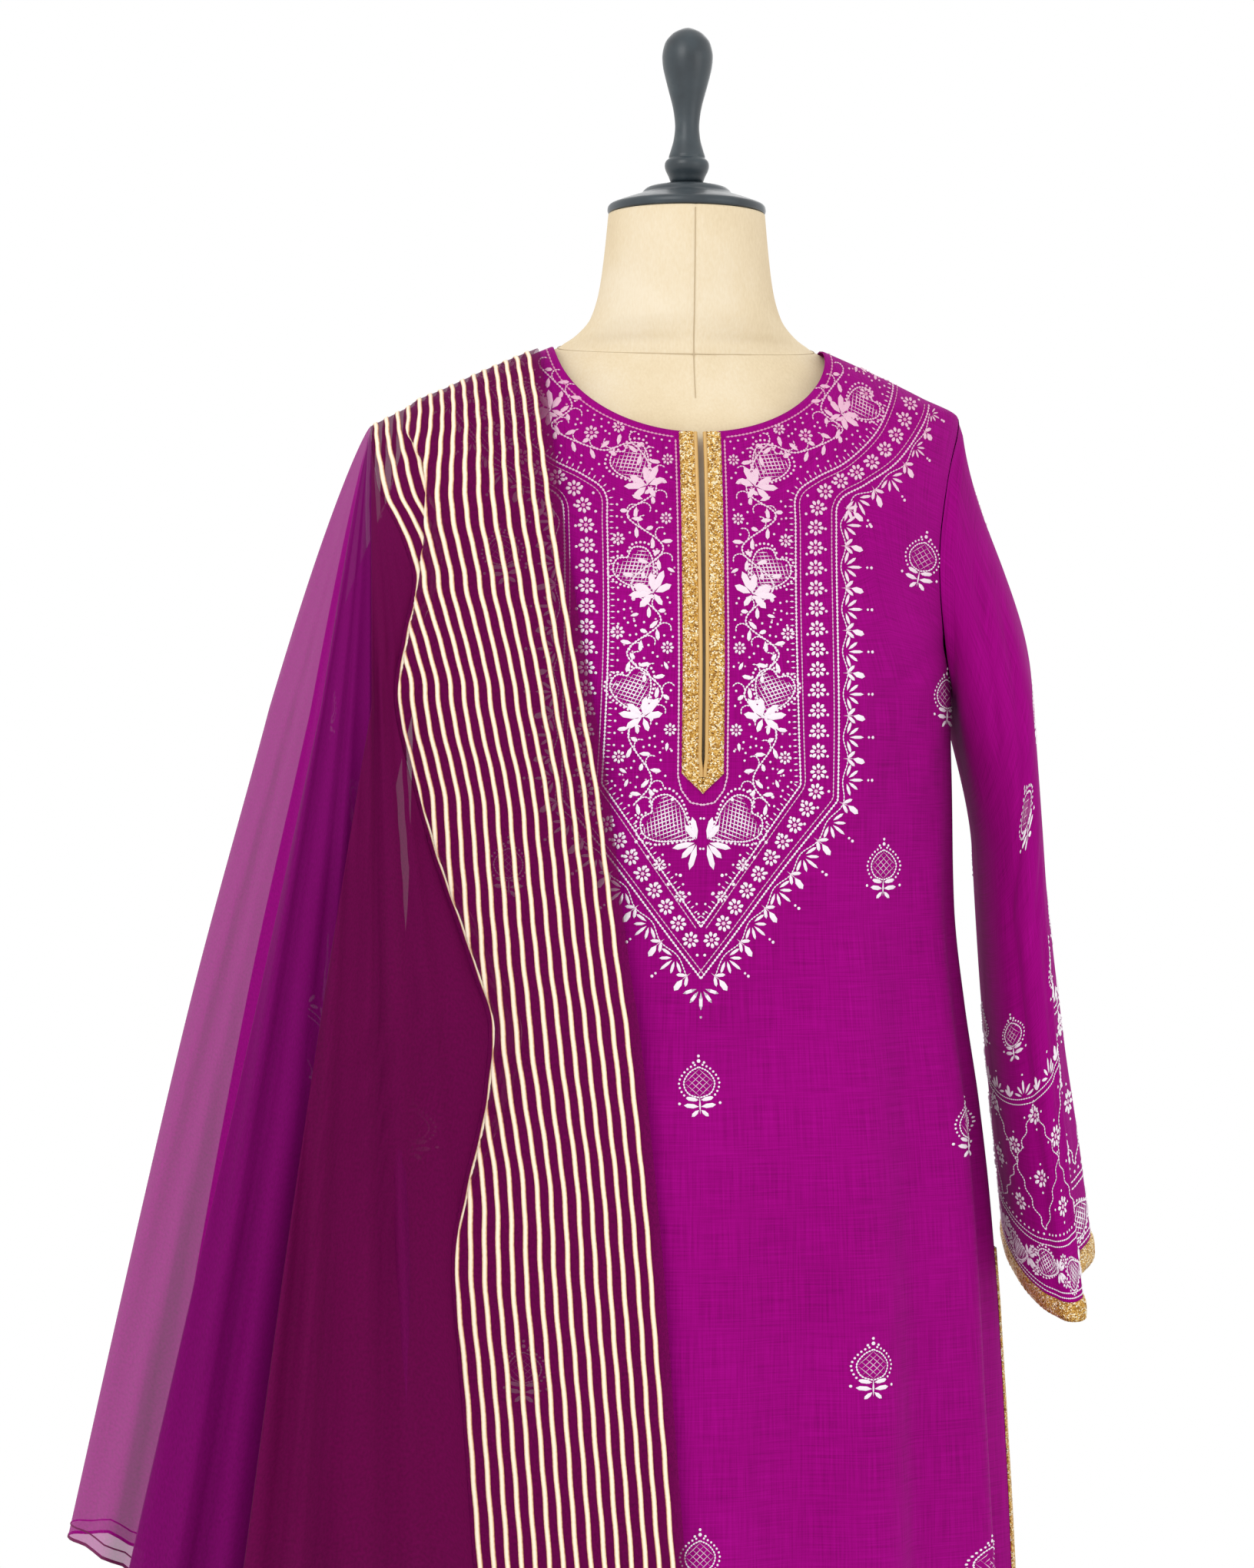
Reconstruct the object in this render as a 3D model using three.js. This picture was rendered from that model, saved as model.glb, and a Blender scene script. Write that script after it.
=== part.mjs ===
// A long-sleeved kurta and a striped dupatta on a limbless dress form.
// Millimetres, +Z up, the wearer faces -Y, and the wearer's left is +X.
// The origin is the centre of the stand's base, on the floor.
import * as THREE from "three";
import { mergeVertices } from "three/addons/utils/BufferGeometryUtils.js";

// Driving sizes
const HPS_Z = 1400; // height of the shoulder line beside the neck
const NECK_HALF_WIDTH = 93;
const SHOULDER_TIP_Z = 1355;
const FRONT_NECK_Z = 1335;
const BACK_NECK_Z = 1384;
const UNDERARM_Z = 1165;
const SLIT_END_Z = 1107; // lower end of the slit at the neck
const SIDE_SLIT_Z = 780; // the side seams are open below this
const HEM_Z = 250;
const KURTA_WALL = 1.2;
const SEAM_GAP = 0.4;
const ARMHOLE_SWING = 0.5; // how far round the body the armhole reaches, radians

const LACE_WIDTH = 12;
const LACE_THICKNESS = 0.9;
const LACE_LIFT = 0.5;
const SLIT_HALF_GAP = 1.6;
const SIDE_TRIM_WIDTH = 7;
const SIDE_TRIM_LIFT = 0.7;

const BRAID_COUNT = 15;
const BRAID_WIDTH = 4.2;
const BRAID_HEIGHT = 0.9;
const BRAID_LIFT = 0.6;
const BORDER_PITCH = 9.2;
const BORDER_MARGIN = 4.5; // plain cloth inside the first braid's pitch
const DUPATTA_WALL = 1;
const DUPATTA_LAYER = 4.5; // from one layer of the field's folds to the next
const FOLD_OPENING = 2; // a fold is open by this share of the way down to its first listed place
const TIP_Z = 1341; // where the dupatta leaves the shoulder
const DUPATTA_REACH = 217; // that place's distance from the middle
const DUPATTA_HALF_LENGTH = 1010; // from the shoulder to either short end
const SHOULDER_CLEARANCE = 1.9; // from the kurta's shoulder line to the outer face of the cloth on it
const SHOULDER_ROUND = 95; // the drop over which the cloth rounds the shoulder
const SHOULDER_CURVE = 0.33; // how sharply it rounds it, where 1 is a straight slope
const SHOULDER_TURN = 40; // the drop over which its edges leave the shoulder line
const BORDER_BULGE = 9; // how far the border rounds out between its edges
const DUPATTA_OUTER_WIDTH = 780; // from the shoulder tip to the outer long edge

const BASE_RADIUS = 165;
const BASE_HEIGHT = 22;
const POLE_RADIUS = 14;
const FORM_BOTTOM_Z = 742;
const NECK_TOP_Z = 1492;

// Sections of the form from the top down: half width, depth before and behind the axis, and the power of
// the superellipse, where 2 is an ellipse.
const FORM_SECTIONS = [
  { z: 1492, half: 54, front: 54, back: 54, power: 2 },
  { z: 1466, half: 56.5, front: 54, back: 56, power: 2 },
  { z: 1440, half: 60, front: 53, back: 57, power: 2 },
  { z: 1420, half: 66, front: 52, back: 57, power: 2 },
  { z: 1408, half: 76, front: 50, back: 56, power: 1.7 },
  { z: 1400, half: 88.2, front: 49, back: 56, power: 1.38 },
  { z: 1391, half: 105.4, front: 50, back: 57, power: 1.32 },
  { z: 1380, half: 134, front: 53, back: 61, power: 1.36 },
  { z: 1368, half: 157, front: 58, back: 66, power: 1.42 },
  { z: 1355, half: 174, front: 65, back: 73, power: 1.6 },
  { z: 1335, half: 181, front: 79, back: 84, power: 1.85 },
  { z: 1300, half: 178, front: 93, back: 96, power: 2.05 },
  { z: 1250, half: 170, front: 104, back: 101, power: 2.1 },
  { z: 1165, half: 163, front: 113, back: 100, power: 2.15 },
  { z: 1090, half: 146, front: 104, back: 90, power: 2.15 },
  { z: 1010, half: 130, front: 94, back: 84, power: 2.1 },
  { z: 930, half: 140, front: 99, back: 93, power: 2.1 },
  { z: 830, half: 160, front: 108, back: 108, power: 2.15 },
  { z: 770, half: 158, front: 106, back: 106, power: 2.15 },
  { z: 742, half: 148, front: 98, back: 98, power: 2.15 },
];

// Sections of the kurta's outer face, in the same columns, with the depth of its soft upright waves.
const KURTA_SECTIONS = [
  { z: 1400, half: 93, front: 53, back: 62, power: 2, wave: 0 },
  { z: 1391, half: 114.6, front: 57, back: 66, power: 2, wave: 0 },
  { z: 1380, half: 139.6, front: 62, back: 71, power: 2, wave: 0 },
  { z: 1368, half: 165, front: 68, back: 76, power: 2, wave: 0 },
  { z: 1355, half: 190, front: 76, back: 83, power: 2, wave: 0 },
  { z: 1335, half: 193, front: 87, back: 92, power: 2.05, wave: 0 },
  { z: 1300, half: 193, front: 99, back: 102, power: 2.1, wave: 0 },
  { z: 1250, half: 190, front: 110, back: 108, power: 2.15, wave: 0.3 },
  { z: 1165, half: 186, front: 119, back: 108, power: 2.2, wave: 0.6 },
  { z: 1090, half: 183, front: 116, back: 104, power: 2.2, wave: 1 },
  { z: 1020, half: 181, front: 112, back: 102, power: 2.2, wave: 1.5 },
  { z: 950, half: 190, front: 114, back: 107, power: 2.2, wave: 2 },
  { z: 880, half: 203, front: 120, back: 115, power: 2.2, wave: 2.6 },
  { z: 780, half: 216, front: 128, back: 125, power: 2.2, wave: 3.6 },
  { z: 700, half: 225, front: 133, back: 131, power: 2.2, wave: 4.6 },
  { z: 560, half: 234, front: 141, back: 140, power: 2.2, wave: 6.4 },
  { z: 400, half: 243, front: 149, back: 148, power: 2.2, wave: 8.2 },
  { z: 250, half: 250, front: 156, back: 156, power: 2.2, wave: 10 },
];
const WAVES_ROUND = 12;

// Sections of a sleeve: the middle of the section, its half size across and from front to back, and how deep
// the valley down its outer side and how proud the lobe behind it are.
const SLEEVE_SECTIONS = [
  { z: 1340, x: 196, across: 8, along: 44, valley: 0, lobe: 0 },
  { z: 1300, x: 203, across: 14, along: 54, valley: 0, lobe: 1 },
  { z: 1250, x: 211, across: 20, along: 61, valley: 1, lobe: 2 },
  { z: 1195, x: 218, across: 22, along: 66, valley: 3, lobe: 3 },
  { z: 1110, x: 225, across: 23, along: 68, valley: 5, lobe: 4 },
  { z: 1026, x: 231, across: 24, along: 70, valley: 7, lobe: 5 },
  { z: 925, x: 240, across: 25, along: 73, valley: 10, lobe: 8 },
  { z: 850, x: 248, across: 25, along: 75, valley: 13, lobe: 12 },
  { z: 740, x: 260, across: 25, along: 77, valley: 15, lobe: 15 },
];
const CUFF_Z = 767; // the cuff's middle, which is lower in front and higher behind
const CUFF_LIFT = 28;
const SLEEVE_ROWS = [0, 0.05, 0.11, 0.18, 0.26, 0.35, 0.45, 0.55, 0.65, 0.75, 0.85, 0.93, 0.977, 1];
const SLEEVE_EASE = 0.3; // the share of its length over which a sleeve takes up its own section

// The striped border on the front, from the shoulder down: its inner and outer edges, and how far each is
// from the middle plane. Where it is narrow, the cloth is gathered.
const BORDER_FRONT = [
  { z: 1395, inner: -104, outer: -217, innerDepth: 96, outerDepth: 62 },
  { z: 1347, inner: -100, outer: -217, innerDepth: 96, outerDepth: 63 },
  { z: 1300, inner: -95, outer: -213, innerDepth: 98, outerDepth: 66 },
  { z: 1262, inner: -90, outer: -197, innerDepth: 104, outerDepth: 72 },
  { z: 1235, inner: -86, outer: -190, innerDepth: 107, outerDepth: 75 },
  { z: 1195, inner: -80, outer: -197, innerDepth: 113, outerDepth: 80 },
  { z: 1160, inner: -74, outer: -202, innerDepth: 117, outerDepth: 83 },
  { z: 1100, inner: -63, outer: -190, innerDepth: 117, outerDepth: 87 },
  { z: 1054, inner: -57, outer: -177, innerDepth: 115, outerDepth: 89 },
  { z: 982, inner: -48, outer: -152, innerDepth: 117, outerDepth: 93 },
  { z: 936, inner: -41, outer: -139, innerDepth: 120, outerDepth: 97 },
  { z: 890, inner: -36, outer: -143, innerDepth: 124, outerDepth: 98 },
  { z: 830, inner: -30, outer: -156, innerDepth: 129, outerDepth: 100 },
  { z: 786, inner: -26, outer: -163, innerDepth: 133, outerDepth: 102 },
  { z: 700, inner: -20, outer: -156, innerDepth: 139, outerDepth: 112 },
  { z: 560, inner: -9, outer: -146, innerDepth: 147, outerDepth: 125 },
  { z: 330, inner: 8, outer: -131, innerDepth: 158, outerDepth: 143 },
];

// The same border behind the shoulder, which falls straighter.
const BORDER_BACK = [
  { z: 1395, inner: -104, outer: -217, innerDepth: 106, outerDepth: 66 },
  { z: 1347, inner: -100, outer: -218, innerDepth: 106, outerDepth: 63 },
  { z: 1300, inner: -96, outer: -218, innerDepth: 107, outerDepth: 67 },
  { z: 1235, inner: -88, outer: -215, innerDepth: 109, outerDepth: 75 },
  { z: 1100, inner: -76, outer: -209, innerDepth: 106, outerDepth: 86 },
  { z: 1020, inner: -72, outer: -203, innerDepth: 105, outerDepth: 88 },
  { z: 936, inner: -68, outer: -199, innerDepth: 112, outerDepth: 90 },
  { z: 786, inner: -62, outer: -198, innerDepth: 128, outerDepth: 97 },
  { z: 560, inner: -50, outer: -187, innerDepth: 146, outerDepth: 111 },
  { z: 330, inner: -40, outer: -178, innerDepth: 158, outerDepth: 132 },
];

// The plain field hangs from the shoulder tip in long folds. A row for each fold line, from the front
// border round the side to the back border: where it starts along the top edge, the cloth's own angle from
// the front fall line in degrees, and its place at three heights.
const FIELD_HEIGHTS = { high: 1150, middle: 950, low: 560 };
const FIELD_FOLDS = [
  { start: 0.1, angle: 16, highX: -218, highY: -90, middleX: -252, middleY: -107, lowX: -307, lowY: -142 },
  { start: 0.2, angle: 26, highX: -206, highY: -84, middleX: -190, middleY: -92, lowX: -182, lowY: -118 },
  { start: 0.3, angle: 42, highX: -251, highY: -77, middleX: -294, middleY: -93, lowX: -384, lowY: -112 },
  { start: 0.4, angle: 54, highX: -243, highY: -71, middleX: -256, middleY: -82, lowX: -254, lowY: -98 },
  { start: 0.5, angle: 90, highX: -286, highY: 0, middleX: -337, middleY: 0, lowX: -424, lowY: 0 },
  { start: 0.6, angle: 126, highX: -243, highY: 71, middleX: -260, middleY: 79, lowX: -248, lowY: 98 },
  { start: 0.7, angle: 138, highX: -256, highY: 78, middleX: -300, middleY: 89, lowX: -372, lowY: 112 },
  { start: 0.8, angle: 154, highX: -226, highY: 84, middleX: -218, middleY: 87, lowX: -215, lowY: 112 },
  { start: 0.9, angle: 164, highX: -232, highY: 93, middleX: -258, middleY: 107, lowX: -300, lowY: 144 },
];
const FIELD_STEPS = 3; // columns along each stretch between two fold lines
const SIDE_TURN = 26; // how far the cloth reaches from front to back where it turns round the side

// Shares of the drop from the shoulder to the short end, for the rows of the dupatta.
const DROP_ROWS = [
  0, 0.009, 0.018, 0.055, 0.105, 0.165, 0.23, 0.3, 0.37, 0.44, 0.52, 0.6, 0.69, 0.79, 0.89, 1,
];
const FIELD_FIRST_ROW = 2; // the field starts at this one of the rows, counted from 0
const FIELD_SLANT = 0.965; // height lost by the folds' slant

// The turned finial from its foot up.
const FINIAL_PROFILE = [
  { z: 0, radius: 10.9 },
  { z: 5, radius: 12.5 },
  { z: 12, radius: 15.4 },
  { z: 16, radius: 14.6 },
  { z: 22, radius: 11.6 },
  { z: 30, radius: 9.2 },
  { z: 40, radius: 8.1 },
  { z: 52, radius: 9.6 },
  { z: 66, radius: 13.4 },
  { z: 80, radius: 17 },
  { z: 89, radius: 17.7 },
  { z: 98, radius: 15.6 },
  { z: 104, radius: 10.4 },
  { z: 107, radius: 4.2 },
];

const COLOURS = {
  purple: { color: 0x6f1468, roughness: 0.8 },
  chiffon: { color: 0x7d0f66, roughness: 0.7 },
  braid: { color: 0xead9b0, roughness: 0.6 },
  lace: { color: 0xc79a3d, roughness: 0.4, metalness: 0.6 },
  linen: { color: 0xe7dcc2, roughness: 0.9 },
  black: { color: 0x1b2024, roughness: 0.4 },
};

// A value between a table's rows, which run downwards. The curve passes through each row without overshoot.
function columnAt(table, key, z) {
  const last = table.length - 1;
  const secant = (k) => (table[k + 1][key] - table[k][key]) / (table[k + 1].z - table[k].z);
  const tangent = (k) => {
    if (k === 0) return secant(0);
    if (k === last) return secant(last - 1);
    const before = secant(k - 1);
    const after = secant(k);
    return before * after <= 0 ? 0 : (2 * before * after) / (before + after);
  };
  let i = 0;
  while (i < last - 1 && z < table[i + 1].z) i++;
  const span = table[i + 1].z - table[i].z;
  const t = (z - table[i].z) / span;
  if (t < 0 || t > 1) return t < 0 ? table[i][key] : table[i + 1][key] + (t - 1) * span * secant(last - 1);
  const t2 = t * t;
  const t3 = t2 * t;
  return (
    (2 * t3 - 3 * t2 + 1) * table[i][key] +
    (t3 - 2 * t2 + t) * span * tangent(i) +
    (3 * t2 - 2 * t3) * table[i + 1][key] +
    (t3 - t2) * span * tangent(i + 1)
  );
}

const mix = (a, b, t) => a + (b - a) * t;
const clamp01 = (t) => Math.min(Math.max(t, 0), 1);
const smooth = (t) => clamp01(t) ** 2 * (3 - 2 * clamp01(t));
const steps = (count) => Array.from({ length: count + 1 }, (_, i) => i / count);

// A point on a table's section at a height. Angle 0 is the wearer's left, and -90 degrees the front.
function sectionPoint(table, angle, z, wave = 0) {
  const power = 2 / columnAt(table, "power", z);
  const c = Math.cos(angle);
  const s = Math.sin(angle);
  const depth = columnAt(table, s < 0 ? "front" : "back", z);
  const ripple = 1 + (wave * (Math.cos(WAVES_ROUND * angle) - 1)) / depth;
  return new THREE.Vector3(
    Math.sign(c) * Math.abs(c) ** power * columnAt(table, "half", z) * ripple,
    Math.sign(s) * Math.abs(s) ** power * depth * ripple,
    z,
  );
}

const kurtaPoint = (angle, z) => sectionPoint(KURTA_SECTIONS, angle, z, columnAt(KURTA_SECTIONS, "wave", z));

function kurtaNormal(angle, z) {
  const round = kurtaPoint(angle + 0.02, z).sub(kurtaPoint(angle - 0.02, z));
  const down = kurtaPoint(angle, Math.min(z + 2, HPS_Z)).sub(kurtaPoint(angle, z - 2));
  return round.cross(down).normalize();
}

// One closed mesh from vertex triples. Its faces are turned outward if its volume comes out negative.
function meshOf(name, points, triangles, look) {
  const corners = triangles.flat();
  let volume = 0;
  for (let i = 0; i < corners.length; i += 3) {
    const [a, b, c] = [points[corners[i]], points[corners[i + 1]], points[corners[i + 2]]];
    volume += a.dot(new THREE.Vector3().crossVectors(b, c));
  }
  const order = volume < 0 ? corners.reverse() : corners;
  const geometry = new THREE.BufferGeometry();
  geometry.setAttribute("position", new THREE.Float32BufferAttribute(points.flatMap((p) => p.toArray()), 3));
  geometry.setIndex(order);
  geometry.computeVertexNormals();
  const mesh = new THREE.Mesh(geometry, new THREE.MeshStandardMaterial(COLOURS[look]));
  mesh.name = name;
  return mesh;
}

// A wall between two grids of points, closed along its edges. Cells that skip picks are left open, and a
// ring joins its last column to its first.
function wall(name, outer, inner, look, { ring = false, skip = () => false } = {}) {
  const rows = outer.length;
  const columns = outer[0].length;
  const points = [...outer.flat(), ...inner.flat()];
  const at = (i, j, layer) => layer * rows * columns + i * columns + (j % columns);
  const cellColumns = ring ? columns : columns - 1;
  const open = (i, j) => {
    const k = ring ? (j + columns) % columns : j;
    return i < 0 || i >= rows - 1 || k < 0 || k >= cellColumns || skip(i, k);
  };
  const triangles = [];
  const quad = (a, b, c, d) => triangles.push([a, b, c], [a, c, d]);
  for (let i = 0; i < rows - 1; i++)
    for (let j = 0; j < cellColumns; j++) {
      if (open(i, j)) continue;
      quad(at(i, j, 0), at(i + 1, j, 0), at(i + 1, j + 1, 0), at(i, j + 1, 0));
      quad(at(i + 1, j + 1, 1), at(i + 1, j, 1), at(i, j, 1), at(i, j + 1, 1));
      if (open(i - 1, j)) quad(at(i, j, 0), at(i, j + 1, 0), at(i, j + 1, 1), at(i, j, 1));
      if (open(i + 1, j)) quad(at(i + 1, j + 1, 0), at(i + 1, j, 0), at(i + 1, j, 1), at(i + 1, j + 1, 1));
      if (open(i, j - 1)) quad(at(i + 1, j, 0), at(i, j, 0), at(i, j, 1), at(i + 1, j, 1));
      if (open(i, j + 1)) quad(at(i, j + 1, 0), at(i + 1, j + 1, 0), at(i + 1, j + 1, 1), at(i, j + 1, 1));
    }
  return meshOf(name, points, triangles, look);
}

// Normals of a grid whose rows run down and whose columns run clockwise, seen from above: they point outward.
function gridNormals(grid, ring = false) {
  const rows = grid.length;
  const columns = grid[0].length;
  const pick = (i, j) => {
    const row = Math.min(Math.max(i, 0), rows - 1);
    return grid[row][ring ? (j + columns) % columns : Math.min(Math.max(j, 0), columns - 1)];
  };
  return grid.map((line, i) =>
    line.map((_, j) => {
      const down = pick(i + 1, j).clone().sub(pick(i - 1, j));
      const before = pick(i, j).clone().sub(pick(i, j - 1)).normalize();
      const across = pick(i, j + 1).clone().sub(pick(i, j)).normalize().add(before);
      return across.cross(down).normalize();
    }),
  );
}

const moved = (grid, normals, distance) =>
  grid.map((line, i) => line.map((p, j) => p.clone().addScaledVector(normals[i][j], distance)));

// A solid through closed sections, with flat ends.
function solidOfSections(name, sections, look) {
  const columns = sections[0].length;
  const points = sections.flat();
  const triangles = [];
  for (let i = 0; i < sections.length - 1; i++)
    for (let j = 0; j < columns; j++) {
      const [a, b] = [i * columns + j, i * columns + ((j + 1) % columns)];
      triangles.push([a, a + columns, b + columns], [a, b + columns, b]);
    }
  for (const [row, turn] of [[0, false], [sections.length - 1, true]]) {
    const first = row * columns;
    for (let j = 1; j < columns - 1; j++)
      triangles.push(turn ? [first, first + j + 1, first + j] : [first, first + j, first + j + 1]);
  }
  return meshOf(name, points, triangles, look);
}

function turned(name, profile, segments, look, z = 0) {
  const path = profile.map((p) => new THREE.Vector2(p.radius, p.z));
  const geometry = new THREE.LatheGeometry(path, segments).rotateX(Math.PI / 2).translate(0, 0, z);
  geometry.deleteAttribute("uv");
  geometry.deleteAttribute("normal");
  const mesh = new THREE.Mesh(mergeVertices(geometry, 1e-3), new THREE.MeshStandardMaterial(COLOURS[look]));
  mesh.name = name;
  return mesh;
}

// The dress form
const FORM_SEGMENTS = 32;
const CAP_Z = NECK_TOP_Z + 0.3;

function formTorso() {
  const sections = FORM_SECTIONS.map(({ z }) =>
    steps(FORM_SEGMENTS).slice(0, -1).map((t) => sectionPoint(FORM_SECTIONS, 2 * Math.PI * t, z)),
  );
  return solidOfSections("form_torso", sections, "linen");
}

function formCap() {
  return turned("form_neck_cap", [
    { z: 0, radius: 0 },
    { z: 0, radius: 53 },
    { z: 2, radius: 54.6 },
    { z: 5, radius: 54.6 },
    { z: 7.5, radius: 52.5 },
    { z: 11, radius: 42 },
    { z: 14, radius: 30.5 },
    { z: 17, radius: 29.5 },
    { z: 20, radius: 24 },
    { z: 21, radius: 14 },
    { z: 21, radius: 0 },
  ], 28, "black", CAP_Z);
}

function formFinial() {
  const ends = [{ z: 0, radius: 0 }, ...FINIAL_PROFILE, { z: 108, radius: 0 }];
  return turned("form_finial", ends, 18, "black", CAP_Z + 21.3);
}

function standPole() {
  return turned("stand_pole", [
    { z: BASE_HEIGHT + 0.3, radius: 0 },
    { z: BASE_HEIGHT + 0.3, radius: POLE_RADIUS },
    { z: FORM_BOTTOM_Z - 0.3, radius: POLE_RADIUS },
    { z: FORM_BOTTOM_Z - 0.3, radius: 0 },
  ], 14, "black");
}

function standBase() {
  return turned("stand_base", [
    { z: 0, radius: 0 },
    { z: 0, radius: BASE_RADIUS },
    { z: 7, radius: BASE_RADIUS },
    { z: 12, radius: BASE_RADIUS - 8 },
    { z: 15, radius: BASE_RADIUS - 60 },
    { z: 18, radius: 34 },
    { z: BASE_HEIGHT, radius: 24 },
    { z: BASE_HEIGHT, radius: 0 },
  ], 28, "black");
}

// The kurta's panels
const UPPER_ROWS = 9;
const NECK_COLUMNS = 6;
const SHOULDER_COLUMNS = 5;
const HALF_COLUMNS = NECK_COLUMNS + SHOULDER_COLUMNS;
const LOWER_HEIGHTS = [
  1136, SLIT_END_Z, 1064, 1020, 975, 930, 880, 830, SIDE_SLIT_Z, 715, 650, 580, 505, 420, 335, HEM_Z,
];
const SLIT_ANGLE = 0.014; // the slit's half gap, as an angle at the front

// The distance from the middle at an angle and a height on the kurta, and the angle at such a distance.
const acrossAt = (angle, z) =>
  columnAt(KURTA_SECTIONS, "half", z) * Math.cos(angle) ** (2 / columnAt(KURTA_SECTIONS, "power", z));
const angleAt = (across, z) => {
  const share = Math.min(across / columnAt(KURTA_SECTIONS, "half", z), 1);
  return Math.acos(share ** (columnAt(KURTA_SECTIONS, "power", z) / 2));
};

// Half a panel as angle and height: side is -1 for the front and 1 for the back.
function panelPlace(column, row, side, neckZ) {
  const quarter = Math.PI / 2;
  const gap = (SEAM_GAP * 0.5) / 100;
  const c = column / HALF_COLUMNS;
  const middle = quarter - (side < 0 ? SLIT_ANGLE : 0);
  const neck = (t) => {
    const z = HPS_Z - (HPS_Z - neckZ) * Math.cos(quarter * t);
    return [Math.min(angleAt(NECK_HALF_WIDTH * Math.sin(quarter * t), z), middle), z];
  };
  const armhole = (t) => {
    const z = (SHOULDER_TIP_Z + UNDERARM_Z) / 2 + ((SHOULDER_TIP_Z - UNDERARM_Z) / 2) * Math.cos(Math.PI * t);
    return [Math.max(ARMHOLE_SWING * Math.sin(Math.PI * t), gap), z];
  };
  const top = (k) => {
    if (k <= NECK_COLUMNS) return neck(k / NECK_COLUMNS);
    return [gap, mix(HPS_Z, SHOULDER_TIP_Z, (k - NECK_COLUMNS) / SHOULDER_COLUMNS)];
  };
  const bottomAngle = mix(middle, gap, c);
  let place;
  if (row <= UPPER_ROWS) {
    const v = row / UPPER_ROWS;
    const flat = ([angle, z]) => [acrossAt(angle, z), z];
    const edges = [
      top(column), [bottomAngle, UNDERARM_Z], [middle, mix(neckZ, UNDERARM_Z, v)], armhole(v),
    ].map(flat);
    const corners = [
      [middle, neckZ], [gap, SHOULDER_TIP_Z], [middle, UNDERARM_Z], [gap, UNDERARM_Z],
    ].map(flat);
    const [x, z] = [0, 1].map(
      (k) =>
        (1 - v) * edges[0][k] + v * edges[1][k] + (1 - c) * edges[2][k] + c * edges[3][k] -
        ((1 - c) * (1 - v) * corners[0][k] + c * (1 - v) * corners[1][k] +
          (1 - c) * v * corners[2][k] + c * v * corners[3][k]),
    );
    place = [Math.min(Math.max(angleAt(x, z), gap), middle), z];
  } else {
    const z = LOWER_HEIGHTS[row - UPPER_ROWS - 1];
    const opening = 0.05 * smooth((SIDE_SLIT_Z - z) / (SIDE_SLIT_Z - HEM_Z)) * (side < 0 ? 1 : 0.35);
    place = [mix(middle, gap + opening, c), z];
  }
  return [side * place[0], place[1]];
}

const PANEL_ROWS = UPPER_ROWS + LOWER_HEIGHTS.length;

// A whole panel's places from one side seam to the other. The front has two middle columns, beside the slit.
function panelPlaces(side, neckZ) {
  const half = steps(HALF_COLUMNS).map((t) => Math.round(t * HALF_COLUMNS));
  const mirrored = half.slice(side < 0 ? 0 : 1);
  return steps(PANEL_ROWS).map((_, row) => {
    const right = half.map((column) => panelPlace(column, row, side, neckZ));
    const left = mirrored.map((column) => panelPlace(column, row, side, neckZ));
    return [...left.reverse().map(([angle, z]) => [side * Math.PI - angle, z]), ...right];
  });
}

const surfaceOf = (places, out) =>
  places.map((line) => line.map(([a, z]) => kurtaPoint(a, z).addScaledVector(kurtaNormal(a, z), out)));

function kurtaFront() {
  const places = panelPlaces(-1, FRONT_NECK_Z);
  const slitRows = UPPER_ROWS + 1 + LOWER_HEIGHTS.indexOf(SLIT_END_Z);
  return wall("kurta_front", surfaceOf(places, 0), surfaceOf(places, -KURTA_WALL), "purple", {
    skip: (i, j) => j === HALF_COLUMNS && i < slitRows,
  });
}

function kurtaBack() {
  const places = panelPlaces(1, BACK_NECK_Z);
  return wall("kurta_back", surfaceOf(places, 0), surfaceOf(places, -KURTA_WALL), "purple");
}

// Gold lace beside the slit, ending in a point below it.
const LACE_ROWS = [1334, 1315, 1296, 1260, 1225, 1190, UNDERARM_Z, 1136, SLIT_END_Z];
const LACE_POINT = 13;
const LACE_TIP_WIDTH = 1.2;

function placketLace(name, side) {
  const edge = (x, z, out) => {
    const angle = side > 0 ? -angleAt(x, z) : angleAt(x, z) - Math.PI;
    return kurtaPoint(angle, z).addScaledVector(kurtaNormal(angle, z), out);
  };
  const near = SLIT_HALF_GAP + SEAM_GAP;
  const rows = LACE_ROWS.map((z) => [[near, z], [SLIT_HALF_GAP + LACE_WIDTH, z]]);
  rows.push([[near, SLIT_END_Z - LACE_POINT], [near + LACE_TIP_WIDTH, SLIT_END_Z - LACE_POINT]]);
  const layer = (out) => rows.map((row) => row.map(([x, z]) => edge(x, z, out)));
  return wall(name, layer(LACE_LIFT + LACE_THICKNESS), layer(LACE_LIFT), "lace");
}

// Narrow lace along a side slit's edge, laid on the panel's own edge and the column beside it.
function slitTrim(name, side, hand) {
  const first = UPPER_ROWS + 1 + LOWER_HEIGHTS.indexOf(SIDE_SLIT_Z);
  const layer = (out) => {
    const rows = [];
    for (let row = first; row <= PANEL_ROWS; row++) {
      const places = [HALF_COLUMNS, HALF_COLUMNS - 1].map((column) => {
        const [angle, z] = panelPlace(column, row, side, HPS_Z);
        return [hand > 0 ? angle : side * Math.PI - angle, z];
      });
      const [edge, next] = surfaceOf([places], out)[0];
      const share = SIDE_TRIM_WIDTH / edge.distanceTo(next);
      rows.push([edge.clone().lerp(next, 0.05 * share), edge.clone().lerp(next, share)]);
    }
    return rows;
  };
  return wall(name, layer(SIDE_TRIM_LIFT + LACE_THICKNESS), layer(SIDE_TRIM_LIFT), "lace");
}

// Sleeves
const SLEEVE_SEGMENTS = 2 * UPPER_ROWS;

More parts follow.
